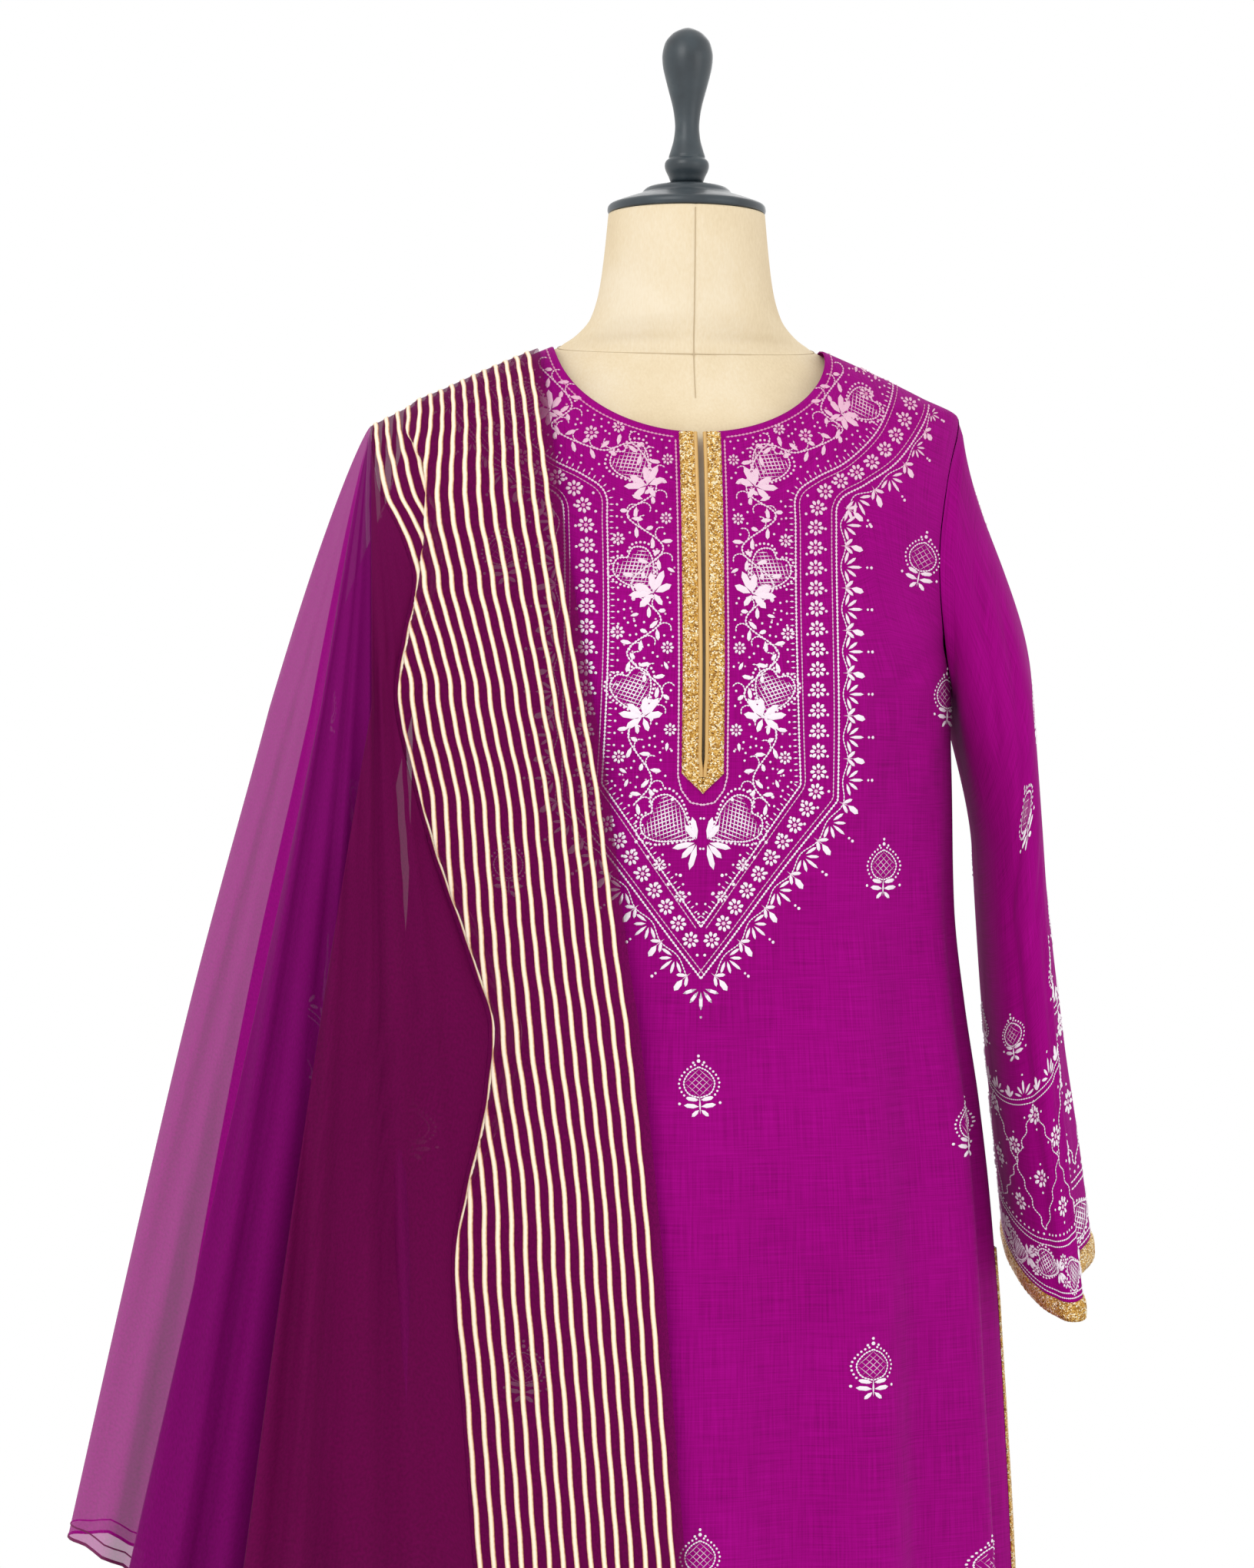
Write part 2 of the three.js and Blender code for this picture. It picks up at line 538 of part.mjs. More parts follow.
// A point round a sleeve's section: angle 0 is the outer side and -90 degrees the front.
function sleevePoint(angle, z) {
  const at = (key) => columnAt(SLEEVE_SECTIONS, key, z);
  const bump = (middle, width) => Math.exp(-(((angle - middle) / width) ** 2));
  const folds = at("lobe") * bump(0.35, 0.6) - at("valley") * bump(-0.5, 0.42);
  const x = at("x") + at("across") * Math.cos(angle) + folds;
  return new THREE.Vector3(x, at("along") * Math.sin(angle), z);
}

function sleeveGrids() {
  const angles = steps(SLEEVE_SEGMENTS).slice(0, -1).map((t) => 2 * Math.PI * ((t > 0.5 ? 1 : 0) - t));
  const middleZ = (SHOULDER_TIP_Z + UNDERARM_Z) / 2;
  const places = angles.map((angle) => [
    ARMHOLE_SWING * Math.sin(angle),
    middleZ + (SHOULDER_TIP_Z - middleZ) * Math.cos(angle),
  ]);
  const loop = places.map(([angle, z]) => kurtaPoint(angle, z));
  const normals = places.map(([angle, z]) => kurtaNormal(angle, z));
  const away = loop.map((_, k) => {
    const along = loop[(k + loop.length - 1) % loop.length].clone().sub(loop[(k + 1) % loop.length]);
    return normals[k].clone().cross(along).normalize();
  });
  const seam = loop.map((p, k) => p.clone().addScaledVector(away[k], -SEAM_GAP * Math.sign(away[0].z)));
  const body = SLEEVE_ROWS.slice(1).map((t) =>
    seam.map((p, k) => {
      const z = mix(p.z, CUFF_Z + CUFF_LIFT * Math.sin(angles[k]), t);
      const blend = smooth(0.25 + (0.75 * t) / SLEEVE_EASE);
      return new THREE.Vector3(p.x, p.y, z).lerp(sleevePoint(angles[k], z), blend);
    }),
  );
  const outer = [seam, ...body];
  const out = gridNormals(outer, true);
  return {
    outer,
    inner: moved(outer, out, -KURTA_WALL),
    cuffOut: (distance) => moved(outer.slice(-2), out.slice(-2), distance),
  };
}

const mirror = (grid) => grid.map((line) => line.map((p) => new THREE.Vector3(-p.x, p.y, p.z)));

function sleeve(name, hand) {
  const grids = sleeveGrids();
  const side = hand > 0 ? (grid) => grid : mirror;
  return wall(name, side(grids.outer), side(grids.inner), "purple", { ring: true });
}

function cuffLace(name, hand) {
  const grids = sleeveGrids();
  const side = hand > 0 ? (grid) => grid : mirror;
  const outer = side(grids.cuffOut(LACE_LIFT + LACE_THICKNESS));
  return wall(name, outer, side(grids.cuffOut(LACE_LIFT)), "lace", { ring: true });
}

// The height of the shoulder line at a distance from the middle. Past the shoulder's tip the cloth slopes on.
function shoulderZ(x) {
  const across = Math.abs(x);
  const tip = KURTA_SECTIONS.find((row) => row.z === SHOULDER_TIP_Z).half;
  if (across >= tip) return mix(SHOULDER_TIP_Z, TIP_Z, (across - tip) / (DUPATTA_REACH - tip));
  let [low, high] = [SHOULDER_TIP_Z, HPS_Z];
  for (let i = 0; i < 30; i++) {
    const z = (low + high) / 2;
    if (columnAt(KURTA_SECTIONS, "half", z) > across) low = z;
    else high = z;
  }
  return low;
}

const BORDER_WIDTH = BORDER_MARGIN + BRAID_COUNT * BORDER_PITCH;

// A point of the border. Across is the distance in the cloth from its inner edge, drop the share of the way
// from the shoulder to the short end, and side -1 for the front and 1 for the back.
function borderPoint(across, drop, side) {
  const table = side < 0 ? BORDER_FRONT : BORDER_BACK;
  const u = across / BORDER_WIDTH;
  const between = (keys, z) => mix(columnAt(table, keys[0], z), columnAt(table, keys[1], z), u);
  const topX = between(["inner", "outer"], table[0].z);
  const topZ = shoulderZ(topX) + SHOULDER_CLEARANCE;
  const z = mix(topZ, TIP_Z - DUPATTA_HALF_LENGTH, drop);
  const fall = topZ - z;
  const x = mix(topX, between(["inner", "outer"], z), smooth(fall / SHOULDER_TURN));
  const depth = between(["innerDepth", "outerDepth"], z) + BORDER_BULGE * 4 * u * (1 - u);
  const round = Math.min(fall / SHOULDER_ROUND, 1) ** SHOULDER_CURVE;
  return new THREE.Vector3(x, side * (depth * round + SHOULDER_CLEARANCE * Math.min(fall / 8, 1)), z);
}

const borderColumns = [0, ...steps(BRAID_COUNT).map((t) => BORDER_MARGIN + t * BRAID_COUNT * BORDER_PITCH)];

// The border from its back end over the shoulder to its front end.
function borderGrid() {
  const row = (drop, side) => borderColumns.map((across) => borderPoint(across, drop, side));
  const back = DROP_ROWS.slice(1).reverse().map((drop) => row(drop, 1));
  return [...back, ...DROP_ROWS.map((drop) => row(drop, -1))];
}

function dupattaBorder(grid, normals) {
  return wall("dupatta_border", grid, moved(grid, normals, -DUPATTA_WALL), "chiffon");
}

// A braid down the middle of a column of the border's cells, with a low ridge.
function braid(name, column, grid, normals) {
  const sections = grid.map((line, i) => {
    const [a, b] = [line[column], line[column + 1]];
    const width = a.distanceTo(b);
    const half = (BRAID_WIDTH / 2) / width;
    const up = normals[i][column].clone().add(normals[i][column + 1]).normalize();
    const at = (t, out) => a.clone().lerp(b, t).addScaledVector(up, out);
    return [at(0.5 - half, BRAID_LIFT), at(0.5, BRAID_LIFT + BRAID_HEIGHT), at(0.5 + half, BRAID_LIFT)];
  });
  return solidOfSections(name, sections, "braid");
}

// A fold line of the field at a height, as a pair of points, one for each layer that meets there.
function foldPair(fold, z, topEdge) {
  const { high, middle, low } = FIELD_HEIGHTS;
  const top = topEdge(fold.start);
  let [x, y] = [0, 0];
  if (z > high) {
    const t = clamp01((top.z - z) / (top.z - high));
    x = mix(top.x, fold.highX, t ** 0.85);
    y = mix(top.y, fold.highY, t ** 0.85);
  } else {
    const line = ["X", "Y"].map((axis) => [
      { z: high, value: fold[`high${axis}`] },
      { z: middle, value: fold[`middle${axis}`] },
      { z: low, value: fold[`low${axis}`] },
    ]);
    [x, y] = line.map((table) => columnAt(table, "value", z));
  }
  const apart = fold.angle === 90 ? SIDE_TURN : DUPATTA_LAYER;
  const gap = (apart / 2) * clamp01((FOLD_OPENING * (top.z - z)) / (top.z - high));
  return [new THREE.Vector3(x, y - gap, z), new THREE.Vector3(x, y + gap, z)];
}

// The length from the shoulder tip to the cloth's edge along one of its own angles.
function hangLength(angle) {
  const turn = (angle * Math.PI) / 180;
  return Math.min(DUPATTA_HALF_LENGTH / Math.abs(Math.cos(turn)), DUPATTA_OUTER_WIDTH / Math.sin(turn));
}

function dupattaField(border, borderNormals) {
  const middle = DROP_ROWS.length - 1;
  const last = borderColumns.length - 1;
  // The seam with the border, just past its outer edge, by rows from the shoulder: side -1 is the front.
  const seam = (row, side) => {
    const line = border[middle - side * row];
    return line[last].clone().sub(line[last - 1]).setLength(SEAM_GAP).add(line[last]);
  };
  // The top edge follows the seam over the shoulder, from front to back.
  const overShoulder = steps(2 * FIELD_FIRST_ROW).map((_, k) => FIELD_FIRST_ROW - k);
  const alongTop = (list) => (t) => {
    const at = Math.min(t * (list.length - 1), list.length - 1.001);
    return list[Math.floor(at)].clone().lerp(list[Math.floor(at) + 1], at % 1);
  };
  const topEdge = alongTop(overShoulder.map((k) => seam(Math.abs(k), k > 0 ? -1 : 1)));
  const topNormal = alongTop(overShoulder.map((k) => borderNormals[middle + k][last]));
  // Stops along a row, from the front border round the side to the back one.
  const pairs = [{ start: 0, angle: 0 }, ...FIELD_FOLDS, { start: 1, angle: 180 }];
  const stretch = (to, k) => steps(FIELD_STEPS).map((share) => ({ from: pairs[k], to, share }));
  const stops = pairs.slice(1).flatMap(stretch);
  const rows = DROP_ROWS.slice(FIELD_FIRST_ROW).map((drop, i) => {
    const row = i + FIELD_FIRST_ROW;
    const ends = (fold, z, which) => {
      if (fold.angle > 0 && fold.angle < 180) return foldPair(fold, z, topEdge)[which];
      return seam(row, fold.angle === 0 ? -1 : 1);
    };
    const sink = (drop - DROP_ROWS[FIELD_FIRST_ROW]) / (1 - DROP_ROWS[FIELD_FIRST_ROW]);
    return stops.map(({ from, to, share }) => {
      if (from.angle === 0 && share === 0) return seam(row, -1);
      if (to.angle === 180 && share === 1) return seam(row, 1);
      const top = topEdge(mix(from.start, to.start, share));
      if (sink === 0) return top;
      const z = mix(top.z, TIP_Z - FIELD_SLANT * hangLength(mix(from.angle, to.angle, share)), sink);
      return ends(from, z, 1).lerp(ends(to, z, 0), share).setZ(z);
    });
  });
  const normals = gridNormals(rows);
  stops.forEach(({ from, to, share }, j) => {
    normals[0][j].copy(topNormal(mix(from.start, to.start, share))).normalize();
  });
  normals.forEach((line, i) => {
    line[0].copy(borderNormals[middle + i + FIELD_FIRST_ROW][last]);
    line[line.length - 1].copy(borderNormals[middle - i - FIELD_FIRST_ROW][last]);
  });
  return wall("dupatta_field", rows, moved(rows, normals, -DUPATTA_WALL), "chiffon");
}

const group = new THREE.Group();
group.add(
  formTorso(),
  formCap(),
  formFinial(),
  standPole(),
  standBase(),
  kurtaFront(),
  kurtaBack(),
  placketLace("placket_lace_left", 1),
  placketLace("placket_lace_right", -1),
);
for (const [hand, word] of [[1, "left"], [-1, "right"]]) {
  group.add(
    sleeve(`sleeve_${word}`, hand),
    cuffLace(`cuff_lace_${word}`, hand),
    slitTrim(`slit_trim_front_${word}`, -1, hand),
    slitTrim(`slit_trim_back_${word}`, 1, hand),
  );
}
const border = borderGrid();
const borderNormals = gridNormals(border);
group.add(dupattaBorder(border, borderNormals), dupattaField(border, borderNormals));
for (let i = 1; i <= BRAID_COUNT; i++)
  group.add(braid(`dupatta_braid_${String(i).padStart(2, "0")}`, i, border, borderNormals));

export default group;
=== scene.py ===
"""Looks for the kurta set on its dress form.

The cloth pieces are thin shells on the forms of the solids, worked out here from the same named sizes and
sections, with finer folds. Millimetres inside the functions, metres in the scene.
"""
import math

import bpy
import numpy as np
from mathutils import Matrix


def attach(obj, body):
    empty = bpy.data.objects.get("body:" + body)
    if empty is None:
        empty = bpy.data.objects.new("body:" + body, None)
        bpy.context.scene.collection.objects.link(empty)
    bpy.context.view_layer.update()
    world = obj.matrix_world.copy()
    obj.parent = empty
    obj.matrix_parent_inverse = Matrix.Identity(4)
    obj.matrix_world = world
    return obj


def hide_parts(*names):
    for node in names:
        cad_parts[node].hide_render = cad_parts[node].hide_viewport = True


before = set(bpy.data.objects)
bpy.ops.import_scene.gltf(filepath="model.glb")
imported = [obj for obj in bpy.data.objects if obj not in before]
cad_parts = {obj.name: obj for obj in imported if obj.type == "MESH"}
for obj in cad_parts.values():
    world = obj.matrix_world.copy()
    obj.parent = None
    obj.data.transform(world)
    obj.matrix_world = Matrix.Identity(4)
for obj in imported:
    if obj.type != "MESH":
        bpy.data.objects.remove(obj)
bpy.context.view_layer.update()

MM = 0.001

# Sizes and sections, as in the solids
HPS_Z, NECK_HALF, TIP_SEAM_Z = 1400.0, 93.0, 1355.0
FRONT_NECK_Z, BACK_NECK_Z, UNDERARM_Z = 1335.0, 1384.0, 1165.0
SLIT_END_Z, SIDE_SLIT_Z, HEM_Z = 1107.0, 780.0, 250.0
ARMHOLE_SWING, SIDE_GAP = 0.5, 0.002
SLIT_HALF_GAP, LACE_POINT = 1.6, 13.0
ARMHOLE_MIDDLE_Z, ARMHOLE_HALF = 1260.0, 95.0
HEM_TURN, SLEEVE_HEM_IN, NECK_TOP_Z = 1.1, 1.3, 1397.0
BRAIDS, BRAID_PITCH, BORDER_MARGIN = 15, 9.2, 4.5
BORDER_WIDTH = BORDER_MARGIN + BRAIDS * BRAID_PITCH
TIP_Z, HALF_LENGTH, OUTER_WIDTH = 1341.0, 1010.0, 780.0
SHOULDER_CLEARANCE = 1.9
BORDER_TOP_Z, SHOULDER_TIP_HALF, DUPATTA_REACH, BORDER_BULGE = 1395.0, 190.0, 217.0, 9.0
SHOULDER_TURN, SHOULDER_ROUND, SHOULDER_CURVE = 40.0, 95.0, 0.33
DUPATTA_LAYER, SIDE_TURN, HEM_RISE = 4.5, 26.0, 0.965


def table(keys, *rows):
    return {k: np.array(c, float) for k, c in zip(keys.split(), zip(*rows))}


KURTA = table(
    "z half front back power wave",
    (1400, 93, 53, 62, 2, 0), (1391, 114.6, 57, 66, 2, 0), (1380, 139.6, 62, 71, 2, 0),
    (1368, 165, 68, 76, 2, 0), (1355, 190, 76, 83, 2, 0), (1335, 193, 87, 92, 2.05, 0),
    (1300, 193, 99, 102, 2.1, 0), (1250, 190, 110, 108, 2.15, 0.3), (1165, 186, 119, 108, 2.2, 0.6),
    (1090, 187, 116, 104, 2.2, 1), (1020, 189, 112, 102, 2.2, 1.5), (950, 197, 114, 107, 2.2, 2),
    (880, 208, 120, 115, 2.2, 2.6), (780, 219, 128, 125, 2.2, 3.6), (700, 225, 133, 131, 2.2, 4.6),
    (560, 234, 141, 140, 2.2, 6.4), (400, 243, 149, 148, 2.2, 8.2), (250, 250, 156, 156, 2.2, 10),
)
FORM = table(
    "z half front back power",
    (1492, 54, 54, 54, 2), (1466, 56.5, 54, 56, 2), (1440, 60, 53, 57, 2), (1420, 66, 52, 57, 2),
    (1408, 76, 50, 56, 1.7), (1400, 88.2, 49, 56, 1.38), (1391, 105.4, 50, 57, 1.32),
    (1380, 134, 53, 61, 1.36), (1368, 157, 58, 66, 1.42), (1355, 174, 65, 73, 1.6),
    (1335, 181, 79, 84, 1.85), (1300, 178, 93, 96, 2.05), (1250, 170, 104, 101, 2.1),
    (1165, 163, 113, 100, 2.15), (1090, 146, 104, 90, 2.15), (1010, 130, 94, 84, 2.1),
    (930, 140, 99, 93, 2.1), (830, 160, 108, 108, 2.15), (770, 158, 106, 106, 2.15),
    (742, 148, 98, 98, 2.15),
)
SLEEVE = table(
    "z x across along valley lobe",
    (1340, 196, 8, 44, 0, 0), (1300, 203, 14, 54, 0, 1), (1250, 211, 20, 61, 1, 2),
    (1195, 218, 22, 66, 3, 3), (1110, 225, 23, 68, 5, 4), (1026, 231, 24, 70, 9, 5),
    (925, 240, 25, 73, 15, 8), (850, 248, 25, 75, 20, 12), (740, 260, 25, 77, 24, 15),
)
CUFF_Z, CUFF_LIFT, SLEEVE_EASE = 767.0, 28.0, 0.3
SLEEVE_LENGTH, SLEEVE_RUN, SLEEVE_ROUND = 500.0, 510.0, 50.0
STITCH_TOP_Z, FLOWER_PITCH, SPRIG_SIZE, SLEEVE_SPRIG_SIZE = 1398.0, 13.6, 36.0, 33.0
HEM_LINE_UP, FIELD_ROW, FIELD_SOFTENINGS = 16.0, 5.4, 14
BORDER_FRONT = table(
    "z inner outer inner_depth outer_depth",
    (1395, -104, -217, 96, 62), (1347, -100, -217, 96, 63), (1300, -95, -213, 98, 66),
    (1262, -90, -197, 104, 72), (1235, -86, -190, 107, 75), (1195, -80, -197, 113, 80),
    (1160, -74, -202, 117, 83), (1100, -63, -190, 117, 87), (1054, -57, -177, 115, 89),
    (982, -48, -152, 117, 93), (936, -41, -139, 120, 97), (890, -36, -143, 124, 98),
    (830, -30, -156, 129, 100), (786, -26, -163, 133, 102), (700, -20, -156, 139, 112),
    (560, -9, -146, 147, 125), (330, 8, -131, 158, 143),
)
BORDER_BACK = table(
    "z inner outer inner_depth outer_depth",
    (1395, -104, -217, 106, 66), (1347, -100, -218, 106, 63), (1300, -96, -218, 107, 67),
    (1235, -88, -215, 109, 75), (1100, -76, -209, 106, 86), (1020, -72, -203, 105, 88),
    (936, -68, -199, 112, 90), (786, -62, -198, 128, 97), (560, -50, -187, 146, 111),
    (330, -40, -178, 158, 132),
)
FOLDS = table(
    "start angle high_x high_y middle_x middle_y low_x low_y",
    (0.1, 16, -218, -90, -252, -107, -307, -142), (0.2, 26, -206, -84, -190, -92, -182, -118),
    (0.3, 42, -251, -77, -294, -93, -384, -112), (0.4, 54, -243, -71, -256, -82, -254, -98),
    (0.5, 90, -286, 0, -339, 0, -429, 0), (0.6, 126, -243, 71, -260, 79, -248, 98),
    (0.7, 138, -256, 78, -300, 89, -372, 112), (0.8, 154, -226, 84, -218, 87, -215, 112),
    (0.9, 164, -232, 93, -258, 107, -300, 144),
)


def column(tab, key, z):
    """A table's column at heights z, by the same monotone curve as the solids use."""
    zs, v = tab["z"], tab[key]
    z = np.asarray(z, float)
    sec = np.diff(v) / np.diff(zs)
    tan = np.empty_like(v)
    tan[0], tan[-1] = sec[0], sec[-1]
    a, b = sec[:-1], sec[1:]
    same = a * b > 0
    tan[1:-1] = np.where(same, 2 * a * b / np.where(same, a + b, 1), 0)
    i = np.clip(len(zs) - 1 - np.searchsorted(zs[::-1], z, side="left"), 0, len(zs) - 2)
    span = zs[i + 1] - zs[i]
    t = (z - zs[i]) / span
    low = t > 1
    t = np.clip(t, 0, None)
    t1 = np.minimum(t, 1)
    t2, t3 = t1 * t1, t1 ** 3
    out = ((2 * t3 - 3 * t2 + 1) * v[i] + (t3 - 2 * t2 + t1) * span * tan[i]
           + (3 * t2 - 2 * t3) * v[i + 1] + (t3 - t2) * span * tan[i + 1])
    return np.where(low, v[i + 1] + (t - 1) * span * sec[-1], out)


def mix(a, b, t):
    return a + (b - a) * t


def smooth(t):
    t = np.clip(t, 0, 1)
    return t * t * (3 - 2 * t)


def section(tab, ang, z, wave=0.0):
    p = 2 / column(tab, "power", z)
    c, s = np.cos(ang), np.sin(ang)
    depth = np.where(s < 0, column(tab, "front", z), column(tab, "back", z))
    rip = 1 + wave * (np.cos(12 * ang) - 1) / depth
    x = np.sign(c) * np.abs(c) ** p * column(tab, "half", z) * rip
    y = np.sign(s) * np.abs(s) ** p * depth * rip
    return np.stack(np.broadcast_arrays(x, y, z), -1)


def unit(v):
    return v / np.maximum(np.linalg.norm(v, axis=-1, keepdims=True), 1e-9)


def soft_noise(u, v, seed, octaves=3):
    """Smooth noise of two coordinates, the same each time."""
    out = np.zeros(np.broadcast(u, v).shape)
    r = np.random.default_rng(seed)
    for k in range(octaves):
        for _ in range(5):
            a, b, c = r.uniform(-1, 1), r.uniform(-1, 1), r.uniform(0, 6.28)
            out += np.sin((a * u + b * v) * 2 ** k + c) / (5 * 1.6 ** k)
    return out


# Creases of the kurta: side (-1 front, 1 back), from x, z to x, z, half width and depth, all in mm.
CREASES = [
    (-1, 172, 1196, 118, 1150, 9, 2.2), (-1, 176, 1172, 132, 1096, 10, 2.0),
    (-1, 178, 1140, 150, 1020, 9, 1.6), (-1, 160, 1300, 150, 1215, 10, 1.4),
    (-1, -172, 1190, -120, 1140, 10, 2.0), (-1, 96, 1040, 100, 560, 2.2, 0.7),
    (-1, 40, 960, 52, 560, 16, 2.2), (-1, 150, 960, 172, 420, 15, 3.0), (-1, 8, 900, 10, 300, 18, 2.6),
    (-1, 78, 780, 84, 280, 15, 3.0), (-1, 186, 800, 205, 300, 12, 3.4),
    (-1, -60, 900, -66, 300, 15, 3.0), (-1, -140, 860, -160, 300, 15, 3.2),
    (-1, 30, 1040, -40, 1000, 16, 1.2), (-1, 120, 1010, 60, 985, 14, 1.1),
    (1, 172, 1196, 110, 1140, 10, 2.2), (1, -172, 1196, -110, 1140, 10, 2.2),
    (1, 0, 1340, 0, 1180, 14, 1.6), (1, 60, 1060, -50, 1030, 14, 2.0),
    (1, 90, 1010, -20, 985, 13, 2.0), (1, 30, 980, 34, 320, 16, 3.2), (1, -46, 960, -60, 320, 15, 3.0),
    (1, 110, 940, 132, 320, 15, 3.4), (1, -120, 940, -138, 320, 15, 3.2),
    (1, 172, 900, 196, 320, 14, 3.4), (1, -172, 900, -196, 320, 14, 3.0),
]


def crease(px, pz, dx, dz, width, depth):
    """A groove's depth at a place from its start, and the share of the way along it."""
    length = math.hypot(dx, dz)
    t = (px * dx + pz * dz) / length ** 2
    dist = (px * dz - pz * dx) / length
    return t, depth * np.exp(-((dist / width) ** 2))


def kurta_fold(ang, z):
    """How far the kurta's finer folds stand out from its solid's form, in mm, mostly inwards."""
    base = section(KURTA, ang, z)
    x, side = base[..., 0], np.where(np.sin(ang) < 0, -1, 1)
    d = 0.25 * soft_noise(ang * 9, z / 34, 3) + 0.5 * soft_noise(ang * 5, z / 130, 4)
    d *= smooth((1395 - z) / 60)
    for s, x0, z0, x1, z1, w, depth in CREASES:
        t, groove = crease(x - x0, z - z0, x1 - x0, z1 - z0, w, depth)
        ends = smooth(1 + 6 * np.minimum(t, 1 - t)) * smooth(2.2 * np.minimum(t + 0.25, 1.25 - t))
        d = d - np.where(side == s, groove * ends, 0)
    return d


def kurta_at(ang, z, out=0.0, folds=True):
    ang, z = np.broadcast_arrays(np.asarray(ang, float), np.asarray(z, float))
    wave = column(KURTA, "wave", z)
    round_ = section(KURTA, ang + 0.02, z, wave) - section(KURTA, ang - 0.02, z, wave)
    up = np.minimum(z + 2, HPS_Z)
    down = section(KURTA, ang, up, column(KURTA, "wave", up)) - section(
        KURTA, ang, z - 2, column(KURTA, "wave", z - 2))
    n = unit(np.cross(round_, down))
    d = out + (kurta_fold(ang, z) if folds else 0)
    return section(KURTA, ang, z, wave) + n * np.asarray(d)[..., None], n


def across_at(ang, z):
    return column(KURTA, "half", z) * np.cos(ang) ** (2 / column(KURTA, "power", z))


def angle_at(x, z):
    share = np.minimum(np.abs(x) / column(KURTA, "half", z), 1)
    return np.arccos(share ** (column(KURTA, "power", z) / 2))


def front_angle(x, z):
    a = angle_at(x, z)
    return np.where(np.asarray(x) >= 0, -a, a - math.pi)


# Meshes
def mesh(name, points, faces, mat, uv=None, body="root"):
    me = bpy.data.meshes.new(name)
    me.from_pydata((np.asarray(points) * MM).tolist(), [], [list(map(int, f)) for f in faces])
    if uv is not None:
        layer = me.uv_layers.new(name="UVMap")
        loops = np.empty(len(me.loops), np.int32)
        me.loops.foreach_get("vertex_index", loops)
        layer.data.foreach_set("uv", np.asarray(uv, float)[loops].ravel())
    me.materials.append(mat)
    me.validate()
    me.polygons.foreach_set("use_smooth", [True] * len(me.polygons))
    ob = bpy.data.objects.new(name, me)
    bpy.context.scene.collection.objects.link(ob)
    if body:
        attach(ob, body)
    return ob


def grid_faces(rows, cols, ring=False, skip=None, start=0):
    j = np.arange(cols if ring else cols - 1)
    i = np.arange(rows - 1)
    ii, jj = np.meshgrid(i, j, indexing="ij")
    if skip is not None:
        keep = ~skip(ii, jj)
        ii, jj = ii[keep], jj[keep]
    k = (jj + 1) % cols
    a, b = ii * cols + jj, (ii + 1) * cols + jj
    c, d = (ii + 1) * cols + k, ii * cols + k
    return np.stack([a, b, c, d], -1).reshape(-1, 4) + start


def grid_normals(g, ring=False):
    down = np.empty_like(g)
    down[1:-1] = g[2:] - g[:-2]
    down[0], down[-1] = g[1] - g[0], g[-1] - g[-2]
    if ring:
        step = unit(np.roll(g, -1, 1) - g)
        across = step + np.roll(step, 1, 1)
    else:
        step = unit(g[:, 1:] - g[:, :-1])
        across = np.concatenate([step[:, :1], step], 1) + np.concatenate([step, step[:, -1:]], 1)
    return unit(np.cross(across, down))


def lengths_uv(g):
    """Texture coordinates in metres of cloth, by a grid's mean steps along and across."""
    du = np.linalg.norm(np.diff(g, axis=1), axis=-1).mean(0)
    dv = np.linalg.norm(np.diff(g, axis=0), axis=-1).mean(1)
    u = np.concatenate([[0], np.cumsum(du)]) * MM
    v = np.concatenate([[0], np.cumsum(dv)]) * MM
    return np.stack(np.meshgrid(u, v, indexing="xy"), -1).reshape(-1, 2)


def piece(name, g, mat, node_name=None, faces=None, uv=None):
    """A grid of points as one object, in the place of the named solid."""
    faces = grid_faces(*g.shape[:2]) if faces is None else faces
    uv = lengths_uv(g) if uv is None else uv
    ob = mesh(name, g.reshape(-1, 3), faces, mat, uv)
    if node_name:
        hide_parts(node_name)
    return ob


def joined(name, grids, mat):
    """Several strips as one object, which goes with the solids and replaces none."""
    counts = np.cumsum([0] + [g.shape[0] * g.shape[1] for g in grids])
    faces = [grid_faces(*g.shape[:2], start=k) for g, k in zip(grids, counts)]
    ob = mesh(name, np.concatenate([g.reshape(-1, 3) for g in grids]), np.concatenate(faces), mat)
    return ob


def linear(r, g, b):
    return tuple(((c / 255 + 0.055) / 1.055) ** 2.4 if c > 10 else c / 255 / 12.92 for c in (r, g, b))


